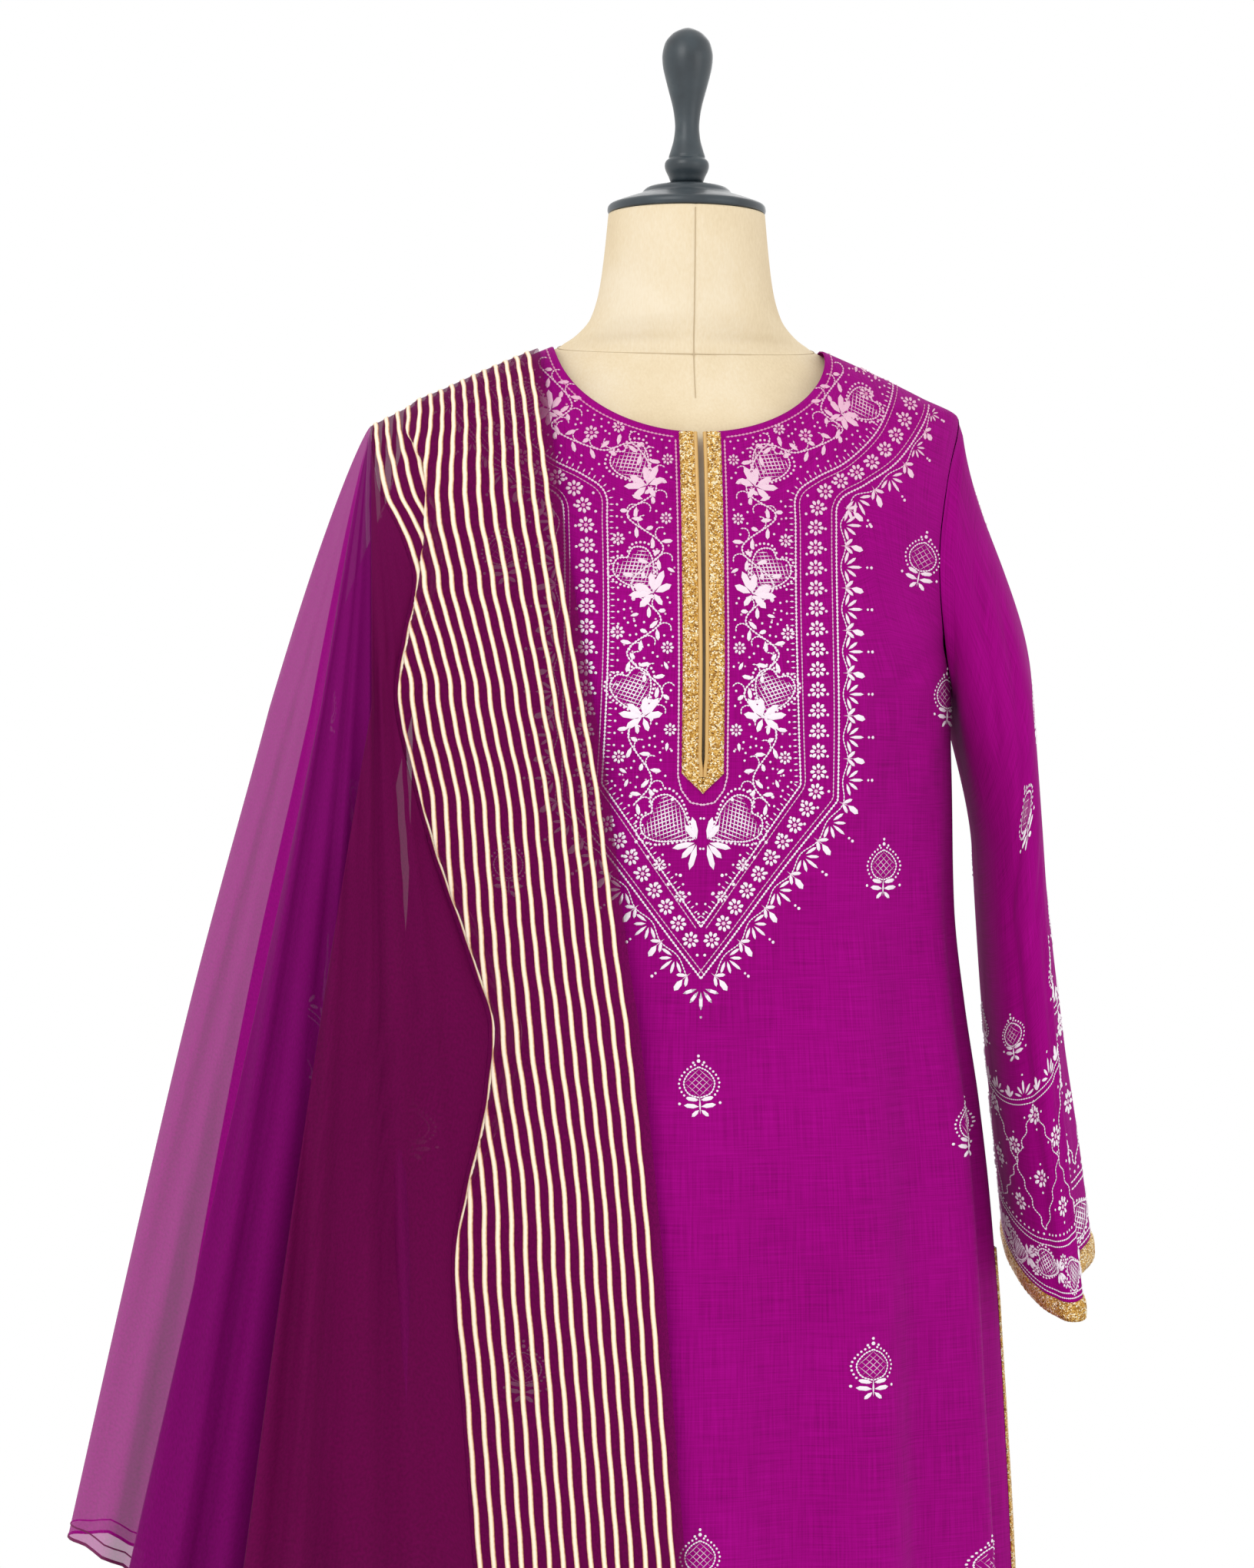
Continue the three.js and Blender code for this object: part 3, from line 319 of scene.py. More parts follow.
class Look:
    """A material: a principled surface and the textures that feed it."""

    def __init__(self, name, colour, rough, **more):
        self.mat = bpy.data.materials.new(name)
        self.mat.use_nodes = True
        self.tree = self.mat.node_tree
        self.surface = self.tree.nodes["Principled BSDF"]
        self.surface.inputs["Base Color"].default_value = (*colour, 1)
        self.surface.inputs["Roughness"].default_value = rough
        for key, value in more.items():
            self.surface.inputs[key.replace("_", " ")].default_value = value

    def node(self, kind, inputs, **settings):
        """A node with its inputs set to numbers or fed from sockets, by name or place."""
        made = self.tree.nodes.new(kind)
        for key, value in settings.items():
            setattr(made, key, value)
        for key, value in inputs.items():
            if isinstance(value, bpy.types.NodeSocket):
                self.tree.links.new(value, made.inputs[key])
            else:
                made.inputs[key].default_value = value
        return made

    def place(self, kind, stretch=None):
        source = self.node("ShaderNodeTexCoord", {}).outputs[kind]
        if stretch is None:
            return source
        return self.node("ShaderNodeMapping", {"Vector": source, "Scale": stretch}).outputs["Vector"]

    def noise(self, place, detail, scale=1.0):
        inputs = {"Vector": place, "Scale": scale, "Detail": detail}
        return self.node("ShaderNodeTexNoise", inputs).outputs["Fac"]

    def math(self, operation, *values):
        return self.node("ShaderNodeMath", dict(enumerate(values)), operation=operation).outputs[0]

    def part(self, vector, axis):
        return self.node("ShaderNodeSeparateXYZ", {0: vector}).outputs[axis]

    def ramp(self, factor, *stops):
        """A ramp of colours, or of greys given as plain numbers."""
        made = self.node("ShaderNodeValToRGB", {"Fac": factor})
        elements = made.color_ramp.elements
        while len(elements) < len(stops):
            elements.new(0.5)
        for element, (position, value) in zip(elements, stops):
            element.position = position
            element.color = (*(value if isinstance(value, tuple) else (value,) * 3), 1)
        return made.outputs["Color"]

    def feed(self, name, socket):
        self.tree.links.new(socket, self.surface.inputs[name])

    def bump(self, height, strength, distance):
        inputs = {"Height": height, "Strength": strength, "Distance": distance}
        self.feed("Normal", self.node("ShaderNodeBump", inputs).outputs["Normal"])


def kurta_material():
    """Slubbed cotton silk: uneven threads both ways and slow clouds of tone."""
    look = Look("kurta_cloth", linear(150, 16, 124), 0.82, Sheen_Weight=0.06, Sheen_Roughness=0.5,
                Sheen_Tint=(0.9, 0.2, 0.8, 1), Specular_IOR_Level=0.06)
    warp = look.noise(look.place("UV", (900, 26, 1)), 4)
    weft = look.noise(look.place("UV", (30, 1100, 1)), 3)
    clouds = look.noise(look.place("UV"), 2, 9)
    weave = look.math("ADD", warp, weft)
    tone = look.math("MULTIPLY_ADD", clouds, 0.16, look.math("MULTIPLY", weave, 0.42))
    look.feed("Base Color", look.ramp(tone, (0.3, linear(118, 0, 92)), (0.5, linear(147, 0, 117)),
                                      (0.72, linear(166, 4, 136))))
    look.bump(weave, 0.25, 0.0004)
    return look.mat


def chiffon_material(name, alpha, colour, middle_colour=None, side_colour=None):
    """Sheer crepe. Where it is one fold deep at the scarf's side, light comes through and it looks paler."""
    look = Look(name, colour, 0.75, Alpha=alpha, Sheen_Weight=0.08, Sheen_Roughness=0.4,
                Sheen_Tint=(1.0, 0.4, 0.8, 1), Specular_IOR_Level=0.08)
    crepe = look.noise(look.place("UV", (700, 420, 1)), 3)
    if side_colour:
        place = look.node("ShaderNodeUVMap", {}, uv_map="place").outputs["UV"]
        across = look.part(place, "X")
        tone = look.ramp(across, (0.0, colour), (0.17, colour), (0.23, middle_colour),
                         (0.38, middle_colour), (0.42, side_colour), (0.58, side_colour),
                         (0.62, middle_colour), (0.77, middle_colour), (0.83, colour))
        look.feed("Alpha", look.ramp(across, (0.17, 0.88), (0.23, 0.9), (0.38, 0.9), (0.42, 0.74),
                                     (0.58, 0.74), (0.62, 0.9)))
        grain = look.ramp(crepe, (0.3, 0.74), (0.7, 1.0))
        both = look.node("ShaderNodeMix", {6: tone, 7: grain}, data_type="RGBA", blend_type="MULTIPLY")
        both.inputs[0].default_value = 1.0
        cloth = both.outputs[2]
    else:
        dark, light = (tuple(c * share for c in colour) for share in (0.72, 1.25))
        cloth = look.ramp(crepe, (0.3, dark), (0.7, light))
    look.feed("Base Color", cloth)
    look.bump(crepe, 0.3, 0.0003)
    return look.mat


def braid_material():
    """Cream thread with gold edges, told apart by the distance from the braid's middle."""
    look = Look("braid", linear(240, 222, 186), 0.6)
    twist = look.noise(look.place("UV", (900, 420, 1)), 2)
    off = look.math("ABSOLUTE", look.part(look.place("UV"), "X"))
    edge = look.math("MULTIPLY_ADD", off, 450.0, look.math("MULTIPLY", twist, 0.3))
    look.feed("Base Color", look.ramp(edge, (0.15, linear(255, 244, 222)), (0.62, linear(244, 222, 190)),
                                      (0.86, linear(208, 150, 104)), (1.0, linear(150, 80, 70))))
    look.bump(twist, 0.5, 0.0006)
    return look.mat


def gold_material():
    """Metal sequins and thread, each grain given a random tone from a painted shade up to a painted glint."""
    look = Look("gold_lace", linear(206, 158, 70), 0.38, Metallic=0.55)
    grains = look.node("ShaderNodeTexVoronoi", {"Vector": look.place("Object"), "Scale": 1150.0})
    glint_and_shade = look.node("ShaderNodeSeparateColor", {0: grains.outputs["Color"]}).outputs[0]
    # Painted glints and painted shade: the grains' random tones run from dark brown up to near white.
    look.feed("Base Color", look.ramp(glint_and_shade, (0.0, linear(120, 74, 20)), (0.35, linear(196, 142, 52)),
                                      (0.7, linear(232, 190, 104)), (0.93, linear(255, 246, 214))))
    look.bump(grains.outputs["Distance"], 0.8, 0.0008)
    return look.mat


def form_material():
    """Cream jersey with a fine grain and faint stains."""
    look = Look("form_cloth", linear(236, 216, 184), 0.9, Specular_IOR_Level=0.2)
    grain = look.noise(look.place("Object", (700, 700, 260)), 4)
    stains = look.noise(look.place("Object"), 3, 11)
    tone = look.math("MULTIPLY_ADD", grain, 0.35, stains)
    look.feed("Base Color", look.ramp(tone, (0.45, linear(212, 192, 156)), (0.72, linear(226, 208, 175)),
                                      (0.95, linear(234, 220, 194))))
    look.bump(grain, 0.2, 0.0004)
    return look.mat


def black_material():
    """Blue-black satin paint, worn a little."""
    look = Look("black_paint", linear(40, 50, 56), 0.36, Coat_Weight=0.25, Coat_Roughness=0.25)
    wear = look.noise(look.place("Object"), 5, 42)
    look.feed("Base Color", look.ramp(wear, (0.35, linear(33, 42, 48)), (0.62, linear(47, 58, 64)),
                                      (0.72, linear(62, 72, 76))))
    look.feed("Roughness", look.ramp(wear, (0.3, 0.3), (0.7, 0.5)))
    return look.mat


def thread_material(name, high, low):
    """Embroidery thread with painted shade by height: darker and pinker on the shoulders, paler lower down."""
    look = Look(name, linear(*low), 0.6)
    height = look.part(look.place("Object"), "Z")
    # Painted shade: the colour grows darker and pinker with height towards the shoulders.
    share = look.node("ShaderNodeMapRange", {0: height, 1: 1.18, 2: 1.36, 3: 0.0, 4: 1.0}).outputs[0]
    look.feed("Base Color", look.ramp(share, (0.0, linear(*low)), (1.0, linear(*high))))
    return look.mat


KURTA_CLOTH = kurta_material()
CHIFFON = chiffon_material("chiffon", 0.8, linear(106, 0, 72), linear(124, 0, 102), linear(168, 0, 138))
BORDER_CHIFFON = chiffon_material("chiffon_border", 0.7, linear(104, 0, 70))
BRAID = braid_material()
GOLD = gold_material()
FORM_CLOTH = form_material()
BLACK = black_material()
WHITE_THREAD = thread_material("white_thread", (222, 172, 196), (242, 232, 240))
PINK_THREAD = thread_material("pink_thread", (208, 130, 168), (228, 188, 212))
PIPING = Look("gold_piping", linear(208, 168, 104), 0.42, Metallic=0.4).mat
SEAM_THREAD = Look("seam", linear(196, 176, 142), 0.9).mat
HEM_THREAD = Look("hem_thread", linear(108, 4, 74), 0.8).mat


# The dress form
def lathe(name, profile, z0, segments, node_name):
    """A turned piece from a list of (height, radius), rounded between its points."""
    rows = np.array(profile, float) + [z0, 0]
    steps = np.linspace(0, 1, 5)[:-1, None]
    fine = np.concatenate([mix(a, b, steps) for a, b in zip(rows[:-1], rows[1:])] + [rows[-1:]])
    for _ in range(2):
        body = (fine[:-2] + 2 * fine[1:-1] + fine[2:]) / 4
        fine[1:-1] = np.where(fine[1:-1, 1:2] > 0.5, body, fine[1:-1])
    ang = np.linspace(0, 2 * math.pi, segments, endpoint=False)
    radius, height = fine[:, 1:2], np.repeat(fine[:, :1], segments, 1)
    g = np.stack([radius * np.cos(ang), radius * np.sin(ang), height], -1)
    ob = mesh(name, g.reshape(-1, 3), grid_faces(*g.shape[:2], ring=True), BLACK)
    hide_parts(node_name)
    return ob


def build_form():
    zs = np.concatenate([np.linspace(1492, 1350, 74), np.linspace(1348, 742, 90)])
    ang = np.linspace(0, 2 * math.pi, 128, endpoint=False)
    g = section(FORM, ang[None, :], zs[:, None])
    x, z = g[..., 0], g[..., 2]
    # The seams: one down the middle, front and back, and one round the foot of the neck, lower in front.
    n = grid_normals(g[:, ::-1], ring=True)[:, ::-1]
    dip = 1400 - 9 * np.cos(np.arctan2(g[..., 1], x) + math.pi / 2)
    groove = 0.7 * np.exp(-((x / 1.1) ** 2)) + 0.6 * np.exp(-(((z - dip) / 1.2) ** 2))
    g = g - n * groove[..., None]
    faces = [list(f) for f in grid_faces(len(zs), len(ang), ring=True)]
    last = (len(zs) - 1) * len(ang)
    faces += [list(range(len(ang))), [last + k for k in range(len(ang))][::-1]]
    ob = mesh("form_torso_jersey", g.reshape(-1, 3), faces, FORM_CLOTH)
    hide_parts("form_torso")
    # Stitched seam lines, as thin dark ridges laid in the grooves.
    lines = []
    zz = np.linspace(1490, 1360, 90)
    for s in (-1, 1):
        p = section(FORM, np.full(zz.shape, s * math.pi / 2), zz)
        lines.append(p + np.array([0, s * 0.02, 0]))
    aa = np.linspace(0, 2 * math.pi, 181)
    dz = 1400 - 9 * np.cos(aa + math.pi / 2)
    lines.append(section(FORM, aa, dz) * np.array([1.0005, 1.0005, 1]))
    strips = []
    for line in lines:
        out = unit(line * np.array([1, 1, 0.0]))
        side = np.cross(unit(np.gradient(line, axis=0)), out)
        low = line - out * 0.3
        strips.append(np.stack([low - side * 0.35, line + out * 0.05, low + side * 0.35], 1))
    joined("form_seams", strips, SEAM_THREAD)
    cap = [(0, 0.01), (0, 52.5), (0.8, 54), (2.5, 54.7), (5, 54.4), (6.5, 53.2), (8.5, 48), (11, 41),
           (14, 31.5), (16.5, 29.8), (18.5, 27.5), (20.2, 20), (21, 12), (21, 0.01)]
    finial = [(0, 0.01), (0, 10.9), (5, 12.5), (9, 14.6), (12, 15.4), (14.5, 15.2), (16, 14.4), (17.6, 12.4),
              (19, 12.6), (22, 11.6), (30, 9.2), (40, 8.1), (52, 9.6), (66, 13.4), (80, 17), (89, 17.7),
              (98, 15.6), (104, 10.4), (107, 4.2), (108, 0.01)]
    pole = [(22.3, 0.01), (22.3, 14), (60, 14), (300, 14), (741.7, 14), (741.7, 0.01)]
    base = [(0, 0.01), (0, 164), (2, 165), (6, 165), (9, 162), (12, 156), (15, 106), (18, 34), (21, 25),
            (22, 20), (22, 0.01)]
    lathe("neck_cap", cap, 1492.3, 96, "form_neck_cap")
    lathe("finial", finial, 1513.6, 64, "form_finial")
    lathe("pole", pole, 0, 48, "stand_pole")
    lathe("base", base, 0, 128, "stand_base")
    return ob


# The kurta's panels
def panel_places(side, neck_z, cols_neck=52, cols_shoulder=44, rows_up=64, rows_low=190):
    """Angles and heights of half a panel, from the middle to the side seam, by rows from the top down."""
    quarter = math.pi / 2
    middle = quarter - (0.014 if side < 0 else 0)
    share = 6 / 11
    c = np.concatenate([np.linspace(0, share, cols_neck), np.linspace(share, 1, cols_shoulder)[1:]])

    def top(c):
        t = np.minimum(c / share, 1)
        x = NECK_HALF * np.sin(quarter * t)
        z = HPS_Z - (HPS_Z - neck_z) * np.cos(quarter * t)
        a = np.minimum(angle_at(x, z), middle)
        s = np.clip((c - share) / (1 - share), 0, 1)
        zs = mix(HPS_Z, TIP_SEAM_Z, s)
        return np.where(c <= share, a, SIDE_GAP), np.where(c <= share, z, zs)

    v = np.linspace(0, 1, rows_up)[:, None]
    ta, tz = top(c)
    ba = mix(middle, SIDE_GAP, c)
    az = ARMHOLE_MIDDLE_Z + ARMHOLE_HALF * np.cos(math.pi * v)
    aa = np.maximum(ARMHOLE_SWING * np.sin(math.pi * v), SIDE_GAP)
    mz = mix(neck_z, UNDERARM_Z, v)
    cc = c[None, :]

    def coons(t, b, l, r, k00, k01, k10, k11):
        return ((1 - v) * t + v * b + (1 - cc) * l + cc * r
                - ((1 - cc) * (1 - v) * k00 + cc * (1 - v) * k01 + (1 - cc) * v * k10 + cc * v * k11))

    tx, bx = across_at(ta, tz), across_at(ba, np.full(ba.shape, UNDERARM_Z))
    lx, rx = across_at(np.full(mz.shape, middle), mz), across_at(aa, az)
    z = coons(tz, UNDERARM_Z, mz, az, neck_z, TIP_SEAM_Z, UNDERARM_Z, UNDERARM_Z)
    x = coons(tx, bx, lx, rx, tx[0], tx[-1], bx[0], bx[-1])
    up_a = np.clip(angle_at(x, z), SIDE_GAP, middle)
    zl = np.linspace(UNDERARM_Z, HEM_Z, rows_low + 1)[1:, None]
    low_a = mix(middle, SIDE_GAP + side_opening(side, zl), cc)
    a = np.concatenate([up_a, low_a])
    z = np.concatenate([z, np.repeat(zl, len(c), 1)])
    return side * a, z


def side_opening(side, z):
    """The angle by which a panel's edge stands back below the top of the side slit, less at the back."""
    return 0.05 * smooth((SIDE_SLIT_Z - z) / (SIDE_SLIT_Z - HEM_Z)) * (1 if side < 0 else 0.35)


def rolled(g, n):
    """A grid with all its edges turned in by a hem's thickness."""
    for axis in (0, 1):
        first, last = (slice(None),) * axis + (slice(0, 1),), (slice(None),) * axis + (slice(-1, None),)
        g = np.concatenate([g[first] - n[first] * HEM_TURN, g, g[last] - n[last] * HEM_TURN], axis)
        n = np.concatenate([n[first], n, n[last]], axis)
    return g


def build_panel(name, side, neck_z):
    a, z = panel_places(side, neck_z)
    if side > 0:
        a = np.concatenate([a[:, ::-1], (math.pi - a)[:, 1:]], 1)
        z = np.concatenate([z[:, ::-1], z[:, 1:]], 1)
        g = rolled(*kurta_at(a, z))
        faces = grid_faces(*g.shape[:2])
    else:
        half = a.shape[1]
        a = np.concatenate([(-math.pi - a)[:, ::-1], a], 1)
        z = np.concatenate([z[:, ::-1], z], 1)
        g, n = kurta_at(a, z)
        # The slit's own edges are turned in: one more column on each side of it.
        open_rows = int(np.sum(z[:, half] > SLIT_END_Z))
        below = (np.arange(len(g)) >= open_rows)[:, None, None]
        left, right = g[:, half - 1:half], g[:, half:half + 1]
        nl, nr = n[:, half - 1:half], n[:, half:half + 1]
        inl = np.where(below, mix(left, right, 0.35), left - nl * HEM_TURN)
        inr = np.where(below, mix(left, right, 0.65), right - nr * HEM_TURN)
        g = np.concatenate([g[:, :half], inl, inr, g[:, half:]], 1)
        n = np.concatenate([n[:, :half], nl, nr, n[:, half:]], 1)
        g = rolled(g, n)
        faces = grid_faces(*g.shape[:2], skip=lambda i, j: (j == half + 1) & (i < open_rows + 1))
    return piece(f"{name}_cloth", g, KURTA_CLOTH, name, faces)


# Sleeves
def sleeve_point(ang, z):
    bump = lambda mid, width: np.exp(-(((ang - mid) / width) ** 2))
    x = (column(SLEEVE, "x", z) + column(SLEEVE, "across", z) * np.cos(ang)
         - column(SLEEVE, "valley", z) * bump(-0.5, 0.42) + column(SLEEVE, "lobe", z) * bump(0.35, 0.6))
    return np.stack(np.broadcast_arrays(x, column(SLEEVE, "along", z) * np.sin(ang), z), -1)


# Creases of a sleeve: angle and share of the length at each end, half width in mm, depth in mm.
SLEEVE_CREASES = [
    (-1.2, 0.08, -2.0, 0.2, 8, 1.6), (-1.0, 0.16, -1.9, 0.32, 8, 1.8), (-1.5, 0.3, -2.3, 0.42, 8, 1.6),
    (-0.9, 0.42, -1.7, 0.5, 8, 1.2), (-1.3, 0.5, -1.4, 0.95, 9, 2.0), (-2.2, 0.4, -2.0, 0.98, 8, 2.4),
    (1.0, 0.1, 2.0, 0.26, 8, 1.8), (1.2, 0.24, 2.2, 0.4, 8, 2.0), (1.4, 0.45, 1.3, 0.97, 9, 2.6),
    (2.3, 0.42, 2.1, 0.97, 9, 2.4), (0.1, 0.3, 0.0, 0.97, 7, 1.6), (0.7, 0.12, 0.9, 0.6, 9, 1.2),
]


def sleeve_grid(rows=170, cols=150):
    """A sleeve on the wearer's left, by rows from the armhole to the cuff: its points and normals."""
    ang = 2 * math.pi - np.linspace(0, 2 * math.pi, cols, endpoint=False)
    ang = np.where(ang > math.pi, ang - 2 * math.pi, ang)
    sa, sz = ARMHOLE_SWING * np.sin(ang), ARMHOLE_MIDDLE_Z + ARMHOLE_HALF * np.cos(ang)
    loop, _ = kurta_at(sa, sz, folds=False)
    t = np.linspace(0, 1, rows)[:, None]
    z = mix(loop[None, :, 2], CUFF_Z + CUFF_LIFT * np.sin(ang)[None, :], t)
    aa = np.repeat(ang[None, :], rows, 0)
    blend = np.where(t > 0, smooth(0.25 + 0.75 * t / SLEEVE_EASE) * smooth(t / 0.02 + 0.001), 0)[..., None]
    body = sleeve_point(aa, z)
    flat = np.stack(np.broadcast_arrays(loop[None, :, 0], loop[None, :, 1], z), -1)
    g = flat * (1 - blend) + body * blend
    n = grid_normals(g, ring=True)
    d = 0.22 * soft_noise(aa * 3, z / 30, 11) + 0.4 * soft_noise(aa * 2, z / 110, 12)
    for a0, t0, a1, t1, w, depth in SLEEVE_CREASES:
        s, groove = crease((aa - a0) * 60, (t - t0) * SLEEVE_LENGTH, (a1 - a0) * 60,
                           (t1 - t0) * SLEEVE_LENGTH, w, depth)
        d = d - groove * smooth(2.5 * np.minimum(s + 0.2, 1.2 - s))
    g = g + n * (d * smooth(t / 0.08))[..., None]
    return g, grid_normals(g, ring=True)


SLEEVE_G, SLEEVE_N = sleeve_grid()


def hand_side(g, hand):
    return g if hand > 0 else g * np.array([-1.0, 1, 1])


def build_sleeve(word, hand):
    """A sleeve with its hem turned up inside."""
    g, n = SLEEVE_G, SLEEVE_N
    hem = [g[-1:] - n[-1:] * HEM_TURN] + [g[-1 - k:-k] - n[-1 - k:-k] * SLEEVE_HEM_IN for k in (3, 6, 9)]
    g = hand_side(np.concatenate([g] + hem), hand)
    faces = grid_faces(*g.shape[:2], ring=True)
    if hand < 0:
        faces = faces[:, ::-1]
    rows, cols = g.shape[:2]
    uv = np.stack(np.meshgrid(np.linspace(0, 0.4, cols), np.linspace(0, 0.52, rows)), -1).reshape(-1, 2)
    return piece(f"sleeve_{word}_cloth", g, KURTA_CLOTH, f"sleeve_{word}", faces, uv)


def sleeve_at(ang, up, hand, out=0.0):
    """A point on a sleeve at an angle and a distance in mm up from the cuff's edge, and its normal."""
    rows, cols = SLEEVE_G.shape[:2]
    ang, up = np.broadcast_arrays(np.asarray(ang, float), np.asarray(up, float))
    col = ((-ang) % (2 * math.pi)) / (2 * math.pi) * cols
    j0 = np.floor(col).astype(int) % cols
    fj = (col - np.floor(col))[..., None]
    j1 = (j0 + 1) % cols
    row = (rows - 1) * (1 - up / SLEEVE_RUN)
    i0 = np.clip(np.floor(row).astype(int), 0, rows - 2)
    fi = (row - i0)[..., None]

    def at(grid):
        return mix(mix(grid[i0, j0], grid[i0, j1], fj), mix(grid[i0 + 1, j0], grid[i0 + 1, j1], fj), fi)

    p, n = at(SLEEVE_G), unit(at(SLEEVE_N))
    p = p + n * np.asarray(out, float)[..., None]
    return hand_side(p, hand), hand_side(n, hand)


def build_cuff_lace(word, hand):
    ang = np.linspace(math.pi, -math.pi, 260, endpoint=False)
    lifts = [(-0.6, 0.1), (-0.8, 1.0), (2, 1.6), (5.5, 1.9), (9.5, 1.7), (12, 1.0), (12.4, 0.1)]
    rough = 0.35 * np.sin(ang * 190) + 0.3 * np.sin(ang * 83 + 1)
    rows = []
    for up, out in lifts[::-1]:
        p = sleeve_at(ang, max(up, 0.0), 1, out + (rough * 0.5 if out > 0.5 else 0))[0]
        if up < 0:
            p = p + np.array([0, 0, up + 0.2])
            p[:, 2] -= 0.3 * np.abs(rough)
        rows.append(hand_side(p, hand) if hand < 0 else p)
    g = np.stack(rows)
    # The lengths are measured once round, and the last column meets the first again.
    uv = lengths_uv(np.concatenate([g, g[:, :1]], 1)).reshape(len(g), -1, 2)[:, :-1].reshape(-1, 2)
    faces = grid_faces(*g.shape[:2], ring=True)
    return piece(f"cuff_lace_{word}_gold", g, GOLD, f"cuff_lace_{word}", faces, uv)


# Gold lace on the kurta
def build_placket(word, hand):
    """The tape beside the neck's slit. It turns in to a point below the slit's end."""
    point = np.linspace(SLIT_END_Z - 0.5, SLIT_END_Z - LACE_POINT, 16)
    zs = np.concatenate([[1334.5], np.linspace(1333, SLIT_END_Z, 200), point])
    across = np.array([0.6, 0.7, 2.4, 5, 8, 10.5, 12, 12.4])
    lift = np.array([0.0, 1.0, 1.5, 1.75, 1.75, 1.5, 1.0, 0.0])
    left = np.clip((zs - (SLIT_END_Z - LACE_POINT - 0.5)) / (LACE_POINT + 0.5), 0, 1)
    shrink = np.where(zs > SLIT_END_Z, 1.0, left)[:, None]
    rough = (0.3 * np.sin(zs * 2.9) + 0.25 * np.sin(zs * 1.3))[:, None]
    close = smooth((SLIT_END_Z + 8 - zs) / 8)[:, None]
    spread = (across[None, :] + 2 * close * (across[None, :] > 6)) * np.maximum(shrink, 0.06)
    x = mix(SLIT_HALF_GAP, -0.4, close) + spread
    x = x + np.where(across > 10, rough * 0.5, 0) * shrink
    zz = np.repeat(zs[:, None], len(across), 1)
    out = 0.15 + lift[None, :] + 0.15 * np.sin(zz * 4.1 + across * 2)
    p = kurta_at(front_angle(hand * x, zz), zz, out)[0]
    g = np.ascontiguousarray(p if hand < 0 else p[:, ::-1])
    return piece(f"placket_lace_{word}_gold", g, GOLD, f"placket_lace_{word}")


def ribbon(path, normal, width, height):
    """Points of a low rounded cord along a path."""
    side = unit(np.cross(unit(np.gradient(path, axis=0)), normal))
    prof = [(-0.5, -0.2), (-0.36, 0.65), (0, 1.0), (0.36, 0.65), (0.5, -0.2)]
    return np.stack([path + side * (w * width) + normal * (h * height) for w, h in prof], 1)


def build_piping(word, hand):
    """A plain gold cord along a tape's inner edge."""
    z = np.linspace(1334, SLIT_END_Z - 2, 120)
    x = 3.1 - 0.9 * smooth((1325 - z) / 140) - 1.0 * smooth((SLIT_END_Z + 12 - z) / 12)
    p, n = kurta_at(front_angle(hand * x, z), z, 1.7)
    return piece(f"slit_piping_{word}", ribbon(p, n, 2.6, 1.0), PIPING)


def build_slit_trim(name, side, hand):
    z = np.linspace(SIDE_SLIT_Z, HEM_Z + 0.5, 160)
    base = SIDE_GAP + side_opening(side, z)
    step = 1 / column(KURTA, "half", z)
    cols = []
    for w, lift in [(0.2, 0.0), (0.3, 0.9), (2, 1.3), (4.5, 1.3), (6.8, 0.9), (7.0, 0.0)]:
        a = side * (base + 1.55 * w * step)
        a = a if hand > 0 else side * math.pi - a
        cols.append(kurta_at(a, z, 0.25 + lift)[0])
    g = np.stack(cols, 1)
    if side * hand < 0:
        g = g[:, ::-1]
    return piece(f"{name}_gold", np.ascontiguousarray(g), GOLD, name)


# The scarf's border, over the shoulder
TUCK = table(
    "z crest hidden",
    (1400, -217, 0), (1347, -200, 2), (1300, -182, 9), (1262, -184, 16), (1235, -187, 16), (1195, -194, 7),
    (1160, -199, 0.5), (1100, -187, 0.5), (1054, -174, 5), (982, -149, 15), (936, -136, 20), (890, -140, 15),
    (830, -153, 4), (786, -160, 0.5), (330, -132, 0),
)


def shoulder_z(x):
    """The height of the shoulder's line at a distance from the middle, found by halving."""
    across = np.abs(np.asarray(x, float))
    low, high = np.full(across.shape, TIP_SEAM_Z), np.full(across.shape, HPS_Z)
    for _ in range(30):
        z = (low + high) / 2
        up = column(KURTA, "half", z) > across
        low, high = np.where(up, z, low), np.where(up, high, z)
    past = (across - SHOULDER_TIP_HALF) / (DUPATTA_REACH - SHOULDER_TIP_HALF)
    return np.where(across >= SHOULDER_TIP_HALF, mix(TIP_SEAM_Z, TIP_Z, past), low)


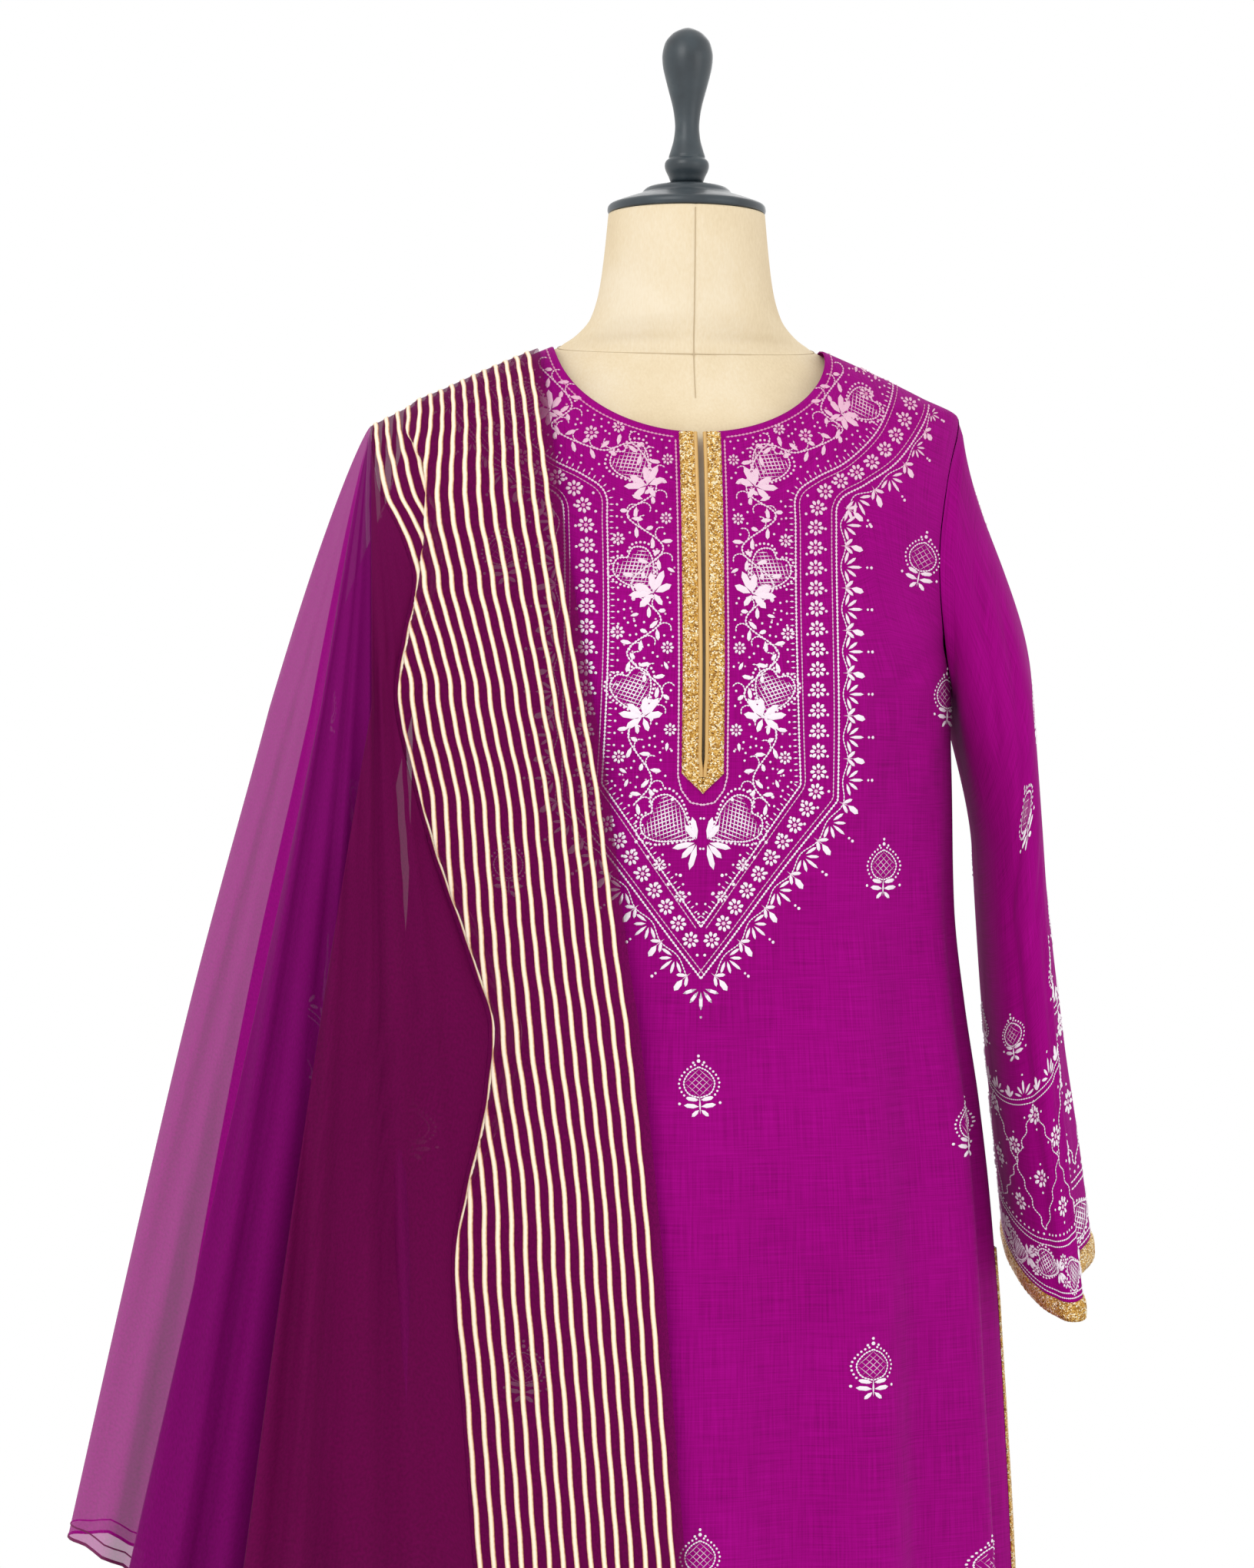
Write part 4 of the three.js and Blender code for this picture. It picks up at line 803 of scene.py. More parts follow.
def border_point(s, drop, side):
    """A point of the border: s in mm of cloth from its inner edge, drop the share of the way down."""
    tab = BORDER_FRONT if side < 0 else BORDER_BACK
    s, drop = np.broadcast_arrays(np.asarray(s, float), np.asarray(drop, float))
    u0 = s / BORDER_WIDTH
    top_x = mix(column(tab, "inner", BORDER_TOP_Z), column(tab, "outer", BORDER_TOP_Z), u0)
    top_z = shoulder_z(top_x) + SHOULDER_CLEARANCE
    z = mix(top_z, TIP_Z - HALF_LENGTH, drop)
    fall = top_z - z
    inner, outer = column(tab, "inner", z), column(tab, "outer", z)
    behind = np.zeros(s.shape)
    if side < 0:
        # A tuck: the cloth runs past its crest, turns back underneath and comes out again.
        crest, hid = column(TUCK, "crest", z), np.maximum(column(TUCK, "hidden", z), 0)
        total = (inner - crest) + 2 * hid + (crest - outer)
        run = s * total / BORDER_WIDTH
        first = inner - crest
        soft = 3.0
        back_in = np.clip(run - first, 0, hid)
        again = np.maximum(run - first - hid, 0)
        x = inner - np.minimum(run, first) + back_in - again
        apart = 3.4 * np.minimum(hid / 4, 1)
        behind = apart * smooth((run - first + soft) / (2 * soft)) * 0.5
        behind = behind + apart * 0.5 * smooth((run - first - hid + soft) / (2 * soft))
        behind = behind * (1 - smooth((run - first - hid - 12) / 26))
    else:
        x = mix(inner, outer, u0)
    u = np.clip((x - inner) / np.minimum(outer - inner, -1), 0, 1)
    x = mix(top_x, x, smooth(fall / SHOULDER_TURN))
    depth = mix(column(tab, "inner_depth", z), column(tab, "outer_depth", z), u)
    depth = depth + BORDER_BULGE * 4 * u * (1 - u) - behind
    ripple = 0.8 * soft_noise(s / 26, z / 90, 21) + 1.3 * soft_noise(s / 60, z / 200, 22)
    depth = depth + ripple * smooth(fall / 120) * (0.6 if side < 0 else 0.9)
    lift = SHOULDER_CLEARANCE * np.minimum(fall / 8, 1)
    y = side * (depth * np.clip(fall / SHOULDER_ROUND, 0, 1) ** SHOULDER_CURVE + lift)
    return np.stack([x, y, z], -1)


# The shares of the way down, closer together near the shoulder.
DROPS = np.linspace(0, 1, 250) ** 1.35
BORDER_S = np.linspace(0, BORDER_WIDTH, 150)


def border_grid(s):
    """The border's points, up the back and down the front, with each row softened a little."""
    back = border_point(s[None, :], DROPS[::-1][:-1, None], 1)
    front = border_point(s[None, :], DROPS[:, None], -1)
    g = np.concatenate([back, front])
    for _ in range(2):
        g[:, 1:-1] = (g[:, :-2] + 2 * g[:, 1:-1] + g[:, 2:]) / 4
    return g


BORDER_G = border_grid(BORDER_S)
BORDER_N = grid_normals(BORDER_G)


def build_border():
    return piece("dupatta_border_cloth", BORDER_G, BORDER_CHIFFON, "dupatta_border")


def build_braid(k):
    """A cream and gold braid with a low rounded ridge, a little uneven along its length."""
    mid = BORDER_MARGIN + (k - 0.5) * BRAID_PITCH
    half = 1.8
    offs = np.array([-half, -half * 0.93, -half * 0.45, 0, half * 0.45, half * 0.93, half])
    lift = np.array([0.05, 0.6, 0.95, 1.05, 0.95, 0.6, 0.05])
    rows = BORDER_G.shape[0]
    i = np.arange(rows)
    wobble = 0.35 * soft_noise(i / 9.0, np.full(rows, k * 3.1), 31) + 0.2 * np.sin(i * 0.9 + k)
    s = mid + wobble[:, None] + offs[None, :]
    pos = np.clip(s / BORDER_WIDTH * (BORDER_G.shape[1] - 1), 0, BORDER_G.shape[1] - 1.001)
    j = pos.astype(int)
    f = (pos - j)[..., None]
    rr = np.repeat(i[:, None], len(offs), 1)
    p = mix(BORDER_G[rr, j], BORDER_G[rr, j + 1], f)
    n = unit(mix(BORDER_N[rr, j], BORDER_N[rr, j + 1], f))
    g = p + n * lift[None, :, None]
    v = np.concatenate([[0], np.cumsum(np.linalg.norm(np.diff(g[:, 3], axis=0), axis=-1))]) * MM
    uv = np.stack(np.meshgrid(offs * MM, v), -1).reshape(-1, 2)
    return piece(f"braid_{k:02d}", g, BRAID, f"dupatta_braid_{k:02d}", uv=uv)


# The scarf's field, hanging in folds off the shoulder
FIELD_HIGH, FIELD_MIDDLE, FIELD_LOW = 1150.0, 950.0, 560.0
FIELD_START, FLUTE_DEPTH = 0.018, 0.0156


def fold_line(k, z, top):
    """The place of fold k, in x and y, at heights z below its place on the top edge."""
    t = np.clip((top[..., 2] - z) / (top[..., 2] - FIELD_HIGH), 0, 1) ** 0.85
    out = []
    for axis, c in (("x", 0), ("y", 1)):
        places = [FOLDS[f"{level}_{axis}"][k] for level in ("high", "middle", "low")]
        tab = {"z": np.array([FIELD_HIGH, FIELD_MIDDLE, FIELD_LOW]), "v": np.array(places)}
        low = column(tab, "v", np.minimum(z, FIELD_HIGH))
        out.append(np.where(z > FIELD_HIGH, mix(top[..., c], low, t), low))
    return np.stack(out, -1)


def field_grid(rows=230, fine=26):
    """The field's points, row by row from the shoulder down, fold by fold round from the front to the back."""
    half = len(DROPS) - 1
    last = BORDER_G[:, -1] + unit(BORDER_G[:, -1] - BORDER_G[:, -4]) * 0.2

    def seam(drop, side):
        at = np.interp(drop, DROPS, np.arange(len(DROPS)))
        pos = half - side * at
        i = np.clip(np.floor(pos).astype(int), 0, len(last) - 2)
        return mix(last[i], last[i + 1], (pos - i)[..., None])

    def top_edge(t):
        return seam(np.abs(1 - 2 * t) * FIELD_START, np.where(t < 0.5, -1, 1))

    starts = np.concatenate([[0], FOLDS["start"], [1]])
    angles = np.concatenate([[0], FOLDS["angle"], [180]])
    share = (1 - np.cos(np.linspace(0, math.pi, fine))) / 2
    share = mix(share, np.linspace(0, 1, fine), 0.35)
    sink = (np.linspace(0, 1, rows) ** 1.25)[:, None]
    drop = mix(FIELD_START, 1, sink)
    cols = []
    for k in range(len(starts) - 1):
        for s in share:
            top = top_edge(np.array([mix(starts[k], starts[k + 1], s)]))[0]
            angle = math.radians(mix(angles[k], angles[k + 1], s))
            to_end = HALF_LENGTH / max(abs(math.cos(angle)), 1e-9)
            to_side = OUTER_WIDTH / max(math.sin(angle), 1e-9)
            z = mix(top[2], TIP_Z - HEM_RISE * min(to_end, to_side), sink[:, 0])
            ends = []
            for which in (0, 1):
                f = k + which
                if f in (0, len(starts) - 1):
                    ends.append(seam(drop[:, 0], np.full(rows, -1 if f == 0 else 1)))
                    continue
                pl = top_edge(starts[f:f + 1])[0]
                p = fold_line(f - 1, z, pl)
                apart = SIDE_TURN if angles[f] == 90 else DUPATTA_LAYER
                gap = apart / 2 * np.clip(2 * (pl[2] - z) / (pl[2] - FIELD_HIGH), 0, 1)
                p = p + np.stack([np.zeros(rows), (1 if which == 0 else -1) * gap], -1)
                ends.append(np.concatenate([p, z[:, None]], 1))
            p = mix(ends[0], ends[1], s)
            if not (k == 0 and s == 0) and not (k == len(starts) - 2 and s == 1):
                p = np.concatenate([p[:, :2], z[:, None]], 1)
            p[0] = top
            cols.append(p)
    g = np.stack(cols, 1)
    plain = g.copy()
    # The folds are rounded off along each row, by more towards the hem.
    for _ in range(FIELD_SOFTENINGS):
        soft = g.copy()
        soft[:, 1:-1] = (g[:, :-2] + 2 * g[:, 1:-1] + g[:, 2:]) / 4
        g = mix(g, soft, smooth(sink * 3 + 0.15)[..., None])
    g[:, 0], g[:, -1] = plain[:, 0], plain[:, -1]
    return g


def with_flutes(g):
    """Soft flutes spread from the shoulder's tip, outwards from the body on both sides, and small ripples."""
    n = grid_normals(g)
    s = np.linspace(0, 1, g.shape[1])[None, :]
    t = np.linspace(0, 1, g.shape[0])[:, None]
    edge = np.minimum(s, 1 - s)
    x, y, z = g[..., 0] + DUPATTA_REACH, g[..., 1], TIP_Z - g[..., 2]
    fan, far = np.degrees(np.arctan2(-x, np.maximum(z, 1))), np.hypot(x, z)
    wave = 0.62 * np.sin(fan * 2 * math.pi / 3.1 + 0.6) + 0.38 * np.sin(fan * 2 * math.pi / 1.9 + far / 300)
    reach = FLUTE_DEPTH * far * smooth(z / 200) * (0.55 + wave * 0.9)
    g[..., 1] += reach * np.sign(y) * smooth(np.abs(y) / 35) * smooth(edge * 14)
    ripple = 1.4 * soft_noise(s * 46, t * 6, 41) + 1.2 * soft_noise(s * 80, t * 3, 42)
    return g + n * (ripple * smooth(t * 4) * smooth(edge * 30))[..., None] * np.array([0.5, 1, 0.1])


FIELD_G = with_flutes(field_grid())


def build_field():
    g = FIELD_G
    ob = piece("dupatta_field_cloth", g, CHIFFON, "dupatta_field")
    # A second map says how far round and how far down a place lies.
    place = ob.data.uv_layers.new(name="place")
    at = np.empty(len(ob.data.loops), np.int32)
    ob.data.loops.foreach_get("vertex_index", at)
    col = (at % g.shape[1]) / (g.shape[1] - 1)
    place.data.foreach_set("uv", np.stack([col, at // g.shape[1] / (g.shape[0] - 1)], 1).ravel())
    # The hem: a rolled edge and a second line of thread above it.
    strips = []
    for up, width in ((0, 2.2), (HEM_LINE_UP, 1.1)):
        row = g.shape[0] - 1 - int(up / FIELD_ROW)
        strips.append(ribbon(g[row], grid_normals(g)[row], width, 0.5))
    return ob, joined("dupatta_hem_threads", strips, HEM_THREAD)


# Embroidery, worked in flat places (x, z) in mm and then laid on the cloth
def aside(a, b, width):
    """A stitch's ends and the step from its middle line to its side."""
    a, b = np.asarray(a, float), np.asarray(b, float)
    d = b - a
    return a, b, np.array([-d[1], d[0]]) / max(np.hypot(*d), 1e-6) * width / 2


class Work:
    """Stitches of one thread, each a low lens, dot or line of them, gathered into one mesh."""

    def __init__(self):
        self.pts, self.lift, self.tris, self.count = [], [], [], 0

    def add(self, pts, lift, tris):
        self.pts.append(np.asarray(pts, float))
        self.lift.append(np.asarray(lift, float))
        self.tris.append(np.asarray(tris, int) + self.count)
        self.count += len(pts)

    def lens(self, a, b, width, high=0.9):
        a, b, n = aside(a, b, width)
        m = mix(a, b, 0.5)
        tris = [(k, 4, (k + 1) % 4) for k in range(4)]
        self.add([a, m + n, b, m - n, m], [0.1, 0.15, 0.1, 0.15, high], tris)

    def petal(self, a, b, width, high=1.0, fat=0.6):
        a, b, n = aside(a, b, width)
        p, q = mix(a, b, fat * 0.6), mix(a, b, min(fat * 0.6 + 0.42, 0.92))
        pts = [a, p + n * 0.9, q + n * 0.85, b, q - n * 0.85, p - n * 0.9, p, q]
        self.add(pts, [0.1, 0.15, 0.15, 0.1, 0.15, 0.15, high, high],
                 [(0, 6, 1), (1, 6, 7), (1, 7, 2), (2, 7, 3), (3, 7, 4), (4, 7, 6), (4, 6, 5), (5, 6, 0)])

    def dot(self, c, r, high=0.9):
        a = np.linspace(0, 2 * math.pi, 6, endpoint=False)
        ring = np.stack([c[0] + r * np.cos(a), c[1] + r * np.sin(a)], 1)
        self.add(np.concatenate([ring, [c]]), [0.12] * 6 + [high], [((k + 1) % 6, k, 6) for k in range(6)])

    def chain(self, path, step=2.6, width=1.5, high=0.8, over=1.25):
        path = resample(path, step)
        for a, b in zip(path[:-1], path[1:]):
            self.lens(a, a + (b - a) * over, width, high)


def resample(path, step):
    path = np.asarray(path, float)
    d = np.concatenate([[0], np.cumsum(np.hypot(*np.diff(path, axis=0).T))])
    n = max(int(round(d[-1] / step)), 1)
    at = np.linspace(0, d[-1], n + 1)
    return np.stack([np.interp(at, d, path[:, 0]), np.interp(at, d, path[:, 1])], 1)


def curve(points, fine=10):
    """A smooth line through points."""
    p = np.asarray(points, float)
    p = np.concatenate([[2 * p[0] - p[1]], p, [2 * p[-1] - p[-2]]])
    out = []
    for k in range(1, len(p) - 2):
        for t in np.linspace(0, 1, fine, endpoint=False):
            out.append(0.5 * (2 * p[k] + (p[k + 1] - p[k - 1]) * t
                              + (2 * p[k - 1] - 5 * p[k] + 4 * p[k + 1] - p[k + 2]) * t * t
                              + (3 * p[k] - p[k - 1] - 3 * p[k + 1] + p[k + 2]) * t ** 3))
    out.append(p[-2])
    return np.array(out)


def turn(v, a):
    c, s = math.cos(a), math.sin(a)
    v = np.asarray(v, float)
    return np.stack([v[..., 0] * c - v[..., 1] * s, v[..., 0] * s + v[..., 1] * c], -1)


def toward(angle):
    return np.array([math.cos(angle), math.sin(angle)])


def hatch(place, ref, gap, lean, thread, width):
    """Crossed thin stitches inside an outline of (along, half width) rows. place maps (along, out) to mm."""
    low, high = ref[:, 0].min(), ref[:, 0].max()
    for start in np.arange(low - 0.6 * (high - low), high + 0.6 * (high - low), gap):
        for s in (1, -1):
            t = np.linspace(-1, 1, 121) * ref[:, 1].max() * 1.1
            v = start + t * lean * s
            half = np.interp(v, ref[:, 0], ref[:, 1], left=-1, right=-1)
            k = np.flatnonzero(np.abs(t) < half - 0.5)
            if len(k) > 6:
                thread.lens(place(v[k[0]], t[k[0]]), place(v[k[-1]], t[k[-1]]), width, 0.55)


# A sprig's leaves, in shares of its size: the foot's height, the tip's reach and height. Width in mm.
SPRIG_LEAVES = [(-0.24, 0.26, -0.2, 3.0), (-0.36, 0.3, -0.33, 3.2), (-0.42, 0.16, -0.54, 2.8)]


class Stitcher:
    """Draws motifs with a white and a pink thread, at a place, an angle and a scale."""

    def __init__(self):
        self.white, self.pink = Work(), Work()

    def rosette(self, c, r, spin=0.0):
        for k in range(8):
            d = toward(spin + k * 2 * math.pi / 8)
            self.white.petal(c + d * r * 0.36, c + d * r, r * 0.42, 1.0)
        self.pink.dot(c, r * 0.24)

    def leaf(self, a, b, width):
        self.white.petal(a, b, width, 1.0, 0.62)

    def fingers(self, c, angle, r, n=5, spread=2.5):
        for k in range(n):
            d = toward(angle + (k / (n - 1) - 0.5) * spread)
            far = r * (1.0 if k == n // 2 else 0.84)
            self.white.petal(c + d * r * 0.2, c + d * far, r * 0.17, 0.9)
        tip = c + toward(angle) * r * 1.3
        self.white.dot(tip, 0.9)

    def halo(self, path, r, high):
        """Dots along a line, without its ends."""
        for p in resample(path, 2.9)[1:-1]:
            self.white.dot(p, r, high)

    def bud(self, c, angle, size, petals=True):
        """A hatched heart-shaped bud with a scalloped outline, its foot at c and its tip along angle."""
        outline = [(0, 0), (0.26, 0.2), (0.55, 0.38), (0.82, 0.4), (0.98, 0.2), (0.88, 0.0)]
        ref = curve(outline, 8) * size
        for s in (1, -1):
            edge = c + turn(ref * np.array([1, s]), angle)
            self.white.chain(edge, 2.0, 1.5)
            self.halo(c + turn(ref * np.array([1.06, s * 1.24]), angle), 0.9, 0.8)
        hatch(lambda v, u: c + turn(np.array([v, u]), angle), ref, 3.2, 0.8, self.white, 0.8)
        if petals:
            for s in (1, -1):
                for spread, far in ((0.5, 0.42), (1.05, 0.5), (1.75, 0.4)):
                    d = turn(np.array([1.0, 0.0]), angle + s * spread)
                    self.white.petal(c + d * size * 0.04, c + d * size * far, size * 0.15, 1.1)
            self.white.petal(c - turn(np.array([0.02, 0]) * size, angle),
                             c + turn(np.array([-0.3, 0]) * size, angle), size * 0.12, 1.1)

    def buti(self, c, angle=math.pi / 2, size=36.0):
        """A sprig: a hatched drop on a stem, dots over it and leaves under it."""
        up = toward(angle)
        out = turn(up, -math.pi / 2)
        at = lambda u, v: c + up * (v * size) + out * (u * size)
        ref = curve([(0, -0.2), (0.21, -0.12), (0.29, 0.08), (0.17, 0.27), (0, 0.36)], 7)
        for s in (1, -1):
            edge = np.array([at(s * p[0], p[1]) for p in ref])
            self.white.chain(edge, 1.9, 1.25)
            self.halo(np.array([at(s * p[0] * 1.3, 0.07 + (p[1] - 0.07) * 1.24) for p in ref]), 0.8, 0.7)
        hatch(lambda v, u: at(u / size, v / size), ref[:, ::-1] * size, 4.4, 0.9, self.pink, 0.55)
        for v, r in ((0.47, 1.3), (0.56, 1.0)):
            self.white.dot(at(0, v), r)
        for s in (1, -1):
            self.white.dot(at(s * 0.1, 0.44), 0.9)
            for foot, far, end, wide in SPRIG_LEAVES:
                self.white.petal(at(s * 0.02, foot), at(s * far, end), wide)
            self.white.dot(at(s * 0.38, -0.3), 1.0)
        self.white.lens(at(0, -0.18), at(0, -0.5), 1.2)

    def lay(self, name, place, both=False, flip=False):
        """The stitches as objects on the cloth. place(x, z, lift) gives points and works on arrays."""
        for word, work, mat in (("white", self.white, WHITE_THREAD), ("pink", self.pink, PINK_THREAD)):
            if not work.pts:
                continue
            p, lift, tris = (np.concatenate(part) for part in (work.pts, work.lift, work.tris))
            pts = place(p[:, 0], p[:, 1], lift)
            if both:
                tris = np.concatenate([tris, tris[:, ::-1] + len(p)])
                pts = np.concatenate([pts, place(-p[:, 0], p[:, 1], lift)])
            ob = mesh(f"{name}_{word}", pts, tris[:, ::-1] if flip else tris, mat)


def on_front(x, z, lift):
    return kurta_at(front_angle(x, z), np.minimum(z, STITCH_TOP_Z), lift)[0]


def yoke_line(points, *ends):
    """A line of the yoke: a curve down to the corner and straight on to the point."""
    return np.concatenate([curve(points, 8), np.array(ends, float)])


INNER_LINE = yoke_line([
    (143, 1380), (135, 1362), (122, 1338), (100, 1317), (78, 1305), (64, 1293), (63, 1270), (63, 1200),
    (65, 1140), (67, 1102),
], (67, 1100), (0, 1006))
OUTER_LINE = yoke_line([
    (165, 1362), (157, 1345), (137, 1319), (113, 1302), (94, 1290), (91, 1268), (91, 1200), (92, 1140),
    (92, 1092),
], (92, 1090), (0, 972))
MIDDLE_LINE = yoke_line([
    (152, 1367), (145, 1350), (128, 1326), (106, 1309), (84, 1297), (77, 1276), (77, 1200), (78, 1140),
    (79, 1096),
], (79, 1094), (3, 992))


def along(path, pitch):
    """Places along a path and the directions there."""
    p = resample(path, pitch)
    return [(m, math.atan2(*q[::-1])) for m, q in zip((p[:-1] + p[1:]) / 2, np.diff(p, axis=0))]


def beside(path, off):
    """A path at a distance to the left of another."""
    return np.array([m + turn(toward(a), math.pi / 2) * off for m, a in along(path, 3)])


def yoke_border(st):
    """The band between the inner and the outer line, with flowers and dots."""
    for path in (INNER_LINE, OUTER_LINE):
        st.white.chain(path, 2.4, 1.6)
    st.pink.chain(beside(INNER_LINE, 3.2), 2.6, 0.9)
    st.pink.chain(beside(OUTER_LINE, -3.2), 2.6, 0.9)
    for m, a in along(MIDDLE_LINE, FLOWER_PITCH):
        st.rosette(m, 5.6, a)
    for path, side in ((INNER_LINE, 1), (OUTER_LINE, -1)):
        for m, a in along(path, FLOWER_PITCH):
            n = turn(toward(a), math.pi / 2) * side
            st.white.dot(m - toward(a) * 6.8 + n * 7.5, 1.0)
    # A comb of short stitches with dots along the inner line, towards the neck.
    for k, (m, a) in enumerate(along(INNER_LINE, 4.0)):
        n = turn(toward(a), -math.pi / 2)
        st.white.lens(m + n * 1.2, m + n * 4.4, 1.1)
        if k % 2 == 0:
            st.white.dot(m + n * 6.4, 0.85)


def yoke_vine(st):
    """The outer edge: a thin wavy vine with five-fingered flowers and leaf buds by turns."""
    vine = []
    for k, (m, a) in enumerate(along(OUTER_LINE, 14.2)):
        d = toward(a)
        n = turn(d, math.pi / 2)
        facing = math.atan2(n[1], n[0])
        n = n * (1 - 0.45 * float(smooth((m[1] - 1300) / 50)))
        vine.append(m + n * (4.2 + (2.4 if k % 2 else -1.2)))
        if k % 2 == 0:
            st.fingers(m + n * 5, facing, 13 * float(np.hypot(*n)))
            st.white.dot(m + n * 25, 1.1)
        else:
            b = m + n * 6
            st.leaf(b + n * 4, b + n * 13 + d * 2.5, 4.2)
            st.leaf(b, b + n * 5.5 + d * 5, 2.5)
            st.leaf(b, b + n * 5.5 - d * 5, 2.5)
            st.pink.lens(m + n * 3, b + n * 5, 1.0)
    st.white.chain(curve(vine, 5), 2.3, 1.0)
    st.fingers(OUTER_LINE[-1] + [0, -6], -math.pi / 2, 15)


# Small flowers of the yoke's inner panel: x, z and radius.
SMALL_FLOWERS = [
    (118, 1366, 5), (72, 1334, 5), (56, 1262, 4.6), (24, 1276, 4.2), (24, 1190, 4.4), (57, 1200, 4.8),
    (22, 1136, 4.4), (56, 1118, 4.6), (22, 1316, 4.0), (54, 1338, 4.2),
]


def yoke_panel(st):
    """The inner panel: a winding stem with large hatched buds, small flowers, leaves and dots."""
    stem = curve([
        (104, 1382), (84, 1354), (98, 1338), (66, 1322), (44, 1326), (30, 1296), (50, 1278),
        (26, 1256), (48, 1232), (28, 1208), (51, 1186), (27, 1160), (50, 1134), (34, 1104), (46, 1086),
    ], 8)
    st.white.chain(stem, 2.3, 1.5)
    for (x, z), angle, size in (((98, 1350), 0.45, 29), ((36, 1298), 1.0, 31), ((33, 1226), 0.95, 33),
                                ((40, 1144), 1.2, 33)):
        st.bud(np.array([x, z], float), angle, size)
    for x, z, r in SMALL_FLOWERS:
        st.rosette(np.array([x, z], float), r)
    for k, (m, a) in enumerate(along(stem, 6.4)):
        s = 1 if k % 2 else -1
        d = turn(toward(a), s * 0.9)
        if k % 2 == 0 and m[0] > 24:
            bow = np.array([[0, 0], [0.5, 0.42], [1.05, 0.3], [1.15, -0.1]]) * 8.5
            st.white.chain(m + turn(curve(bow * np.array([1, s]), 4), a + s * 2.2), 2.0, 1.1)
        if abs(m[0]) > 18:
            st.leaf(m + d * 1.2, m + d * (9 if k % 3 else 6.5), 3.0)
            st.pink.dot(m - d * 5.2, 0.8)


# Dots round the yoke's point: x, z.
POINT_DOTS = [
    (44, 1062), (36, 1052), (14, 1040), (22, 1034), (8, 1028), (48, 1092), (20, 1090), (32, 1096),
]


def yoke_point(st):
    """The mirrored pair of leaf shapes over the point, with petals between them."""
    pair = np.array([3.0, 1062.0])
    st.bud(pair + [2, 2], 0.55, 38, petals=False)
    for ang, far in ((1.35, 17), (0.95, 14), (-0.25, 17), (-0.8, 15), (-1.3, 19)):
        d = toward(ang)
        st.white.petal(pair + d * 2, pair + d * far, 4.2, 1.2)
    for x, z in POINT_DOTS:
        st.white.dot(np.array([x, z], float), 1.2)
    st.rosette(np.array([28.0, 1047.0]), 4.4)
    st.rosette(np.array([14.0, 1026.0]), 4.0)


def yoke_ground(st):
    """Small dots and pairs of leaves fill the ground that is left between the motifs."""
    fill = np.random.default_rng(5)
    taken = np.concatenate(st.white.pts + st.pink.pts)
    for _ in range(5200):
        q = np.array([fill.uniform(1, 134), fill.uniform(1012, 1386)])
        neck_x = (NECK_HALF + 8) * math.sqrt(max(0.0, 1 - (max(0.0, (NECK_TOP_Z - q[1])) / 75) ** 2))
        edge = INNER_LINE[np.argmin(np.abs(INNER_LINE[:, 1] - q[1])), 0]
        if q[1] > 1300:
            near = INNER_LINE[np.argmin(np.hypot(*(INNER_LINE - q).T))]
            if q[1] < near[1] + 6 and q[0] > near[0] - 6:
                continue
        elif q[0] > edge - 8.5:
            continue
        if (q[0] < 20 and q[1] > 1078) or (q[1] > 1316 and q[0] < neck_x):
            continue
        gap = np.hypot(*(taken - q).T).min()
        if gap < 3.1:
            continue
        if gap > 5.2:
            a = fill.uniform(0, 6.28)
            d = toward(a)
            st.leaf(q - d * 2.6, q + d * 3.2, 2.4)
            st.pink.dot(q + turn(d, 1.9) * 2.6, 0.7)
            st.pink.dot(q + turn(d, -1.9) * 2.6, 0.7)
            taken = np.concatenate([taken, [q - d * 2.6, q, q + d * 3.2]])
        else:
            st.white.dot(q, 0.85)
            taken = np.concatenate([taken, [q]])


def yoke_neck(st):
    """Chain lines round the neck and the slit's tapes."""
    t = np.linspace(0, 1, 80)[1:]
    neck = np.stack([(NECK_HALF + 4.5) * np.sin(math.pi / 2 * t),
                     NECK_TOP_Z - (NECK_TOP_Z - FRONT_NECK_Z + 4.5) * np.cos(math.pi / 2 * t)], 1)
    neck = neck[neck[:, 0] > 15.5]
    st.pink.chain(neck, 2.6, 1.4)
    for m, a in along(neck, 5.2):
        n = turn(toward(a), -math.pi / 2)
        if m[0] < 84:
            st.white.dot(m + n * 3.4, 0.8)
    st.pink.chain([(16.4, 1330), (16.4, 1105), (14, 1096), (8, 1088), (0, 1086.5)], 2.6, 1.5)


def work_yoke():
    st = Stitcher()
    for part in (yoke_border, yoke_vine, yoke_panel, yoke_point, yoke_ground, yoke_neck):
        part(st)
    st.lay("yoke_work", on_front, both=True)


# Sprigs on the front: x, z and the stem's angle.
FRONT_SPRIGS = [
    (155, 1252, 1.36), (128, 1044, 1.57), (-1, 901, 1.6), (193, 868, 1.5), (116, 714, 1.57),
    (-1, 593, 1.57), (190, 1160, 1.6), (206, 573, 1.5), (112, 410, 1.57), (0, 330, 1.57),
    (-131, 1252, 1.7), (-128, 1044, 1.57), (-188, 868, 1.6), (-116, 714, 1.57), (-206, 573, 1.6),
    (-112, 410, 1.57),
]


def work_butis():
    st = Stitcher()
    for x, z, a in FRONT_SPRIGS:
        limit = (0.97 if z == 1160 else 0.93) * float(column(KURTA, "half", z))
        x = max(min(x, limit), -limit)
        st.buti(np.array([x, z], float), a, SPRIG_SIZE)
    st.lay("front_sprigs", on_front)


def on_back(x, z, lift):
    a = angle_at(x, z)
    a = np.where(np.asarray(x) >= 0, a, math.pi - a)
    return kurta_at(a, z, lift)[0]


# Sprigs on the back: x, z.
BACK_SPRIGS = [
    (-90, 1250), (90, 1250), (0, 1130), (-110, 1000), (110, 1000), (0, 860), (-130, 720), (130, 720),
    (0, 590), (-140, 450), (140, 450), (0, 330),
]


def work_back():
    st = Stitcher()
    for x, z in BACK_SPRIGS:
        st.buti(np.array([x, z], float), math.pi / 2, SPRIG_SIZE)
    st.lay("back_sprigs", on_back, flip=True)


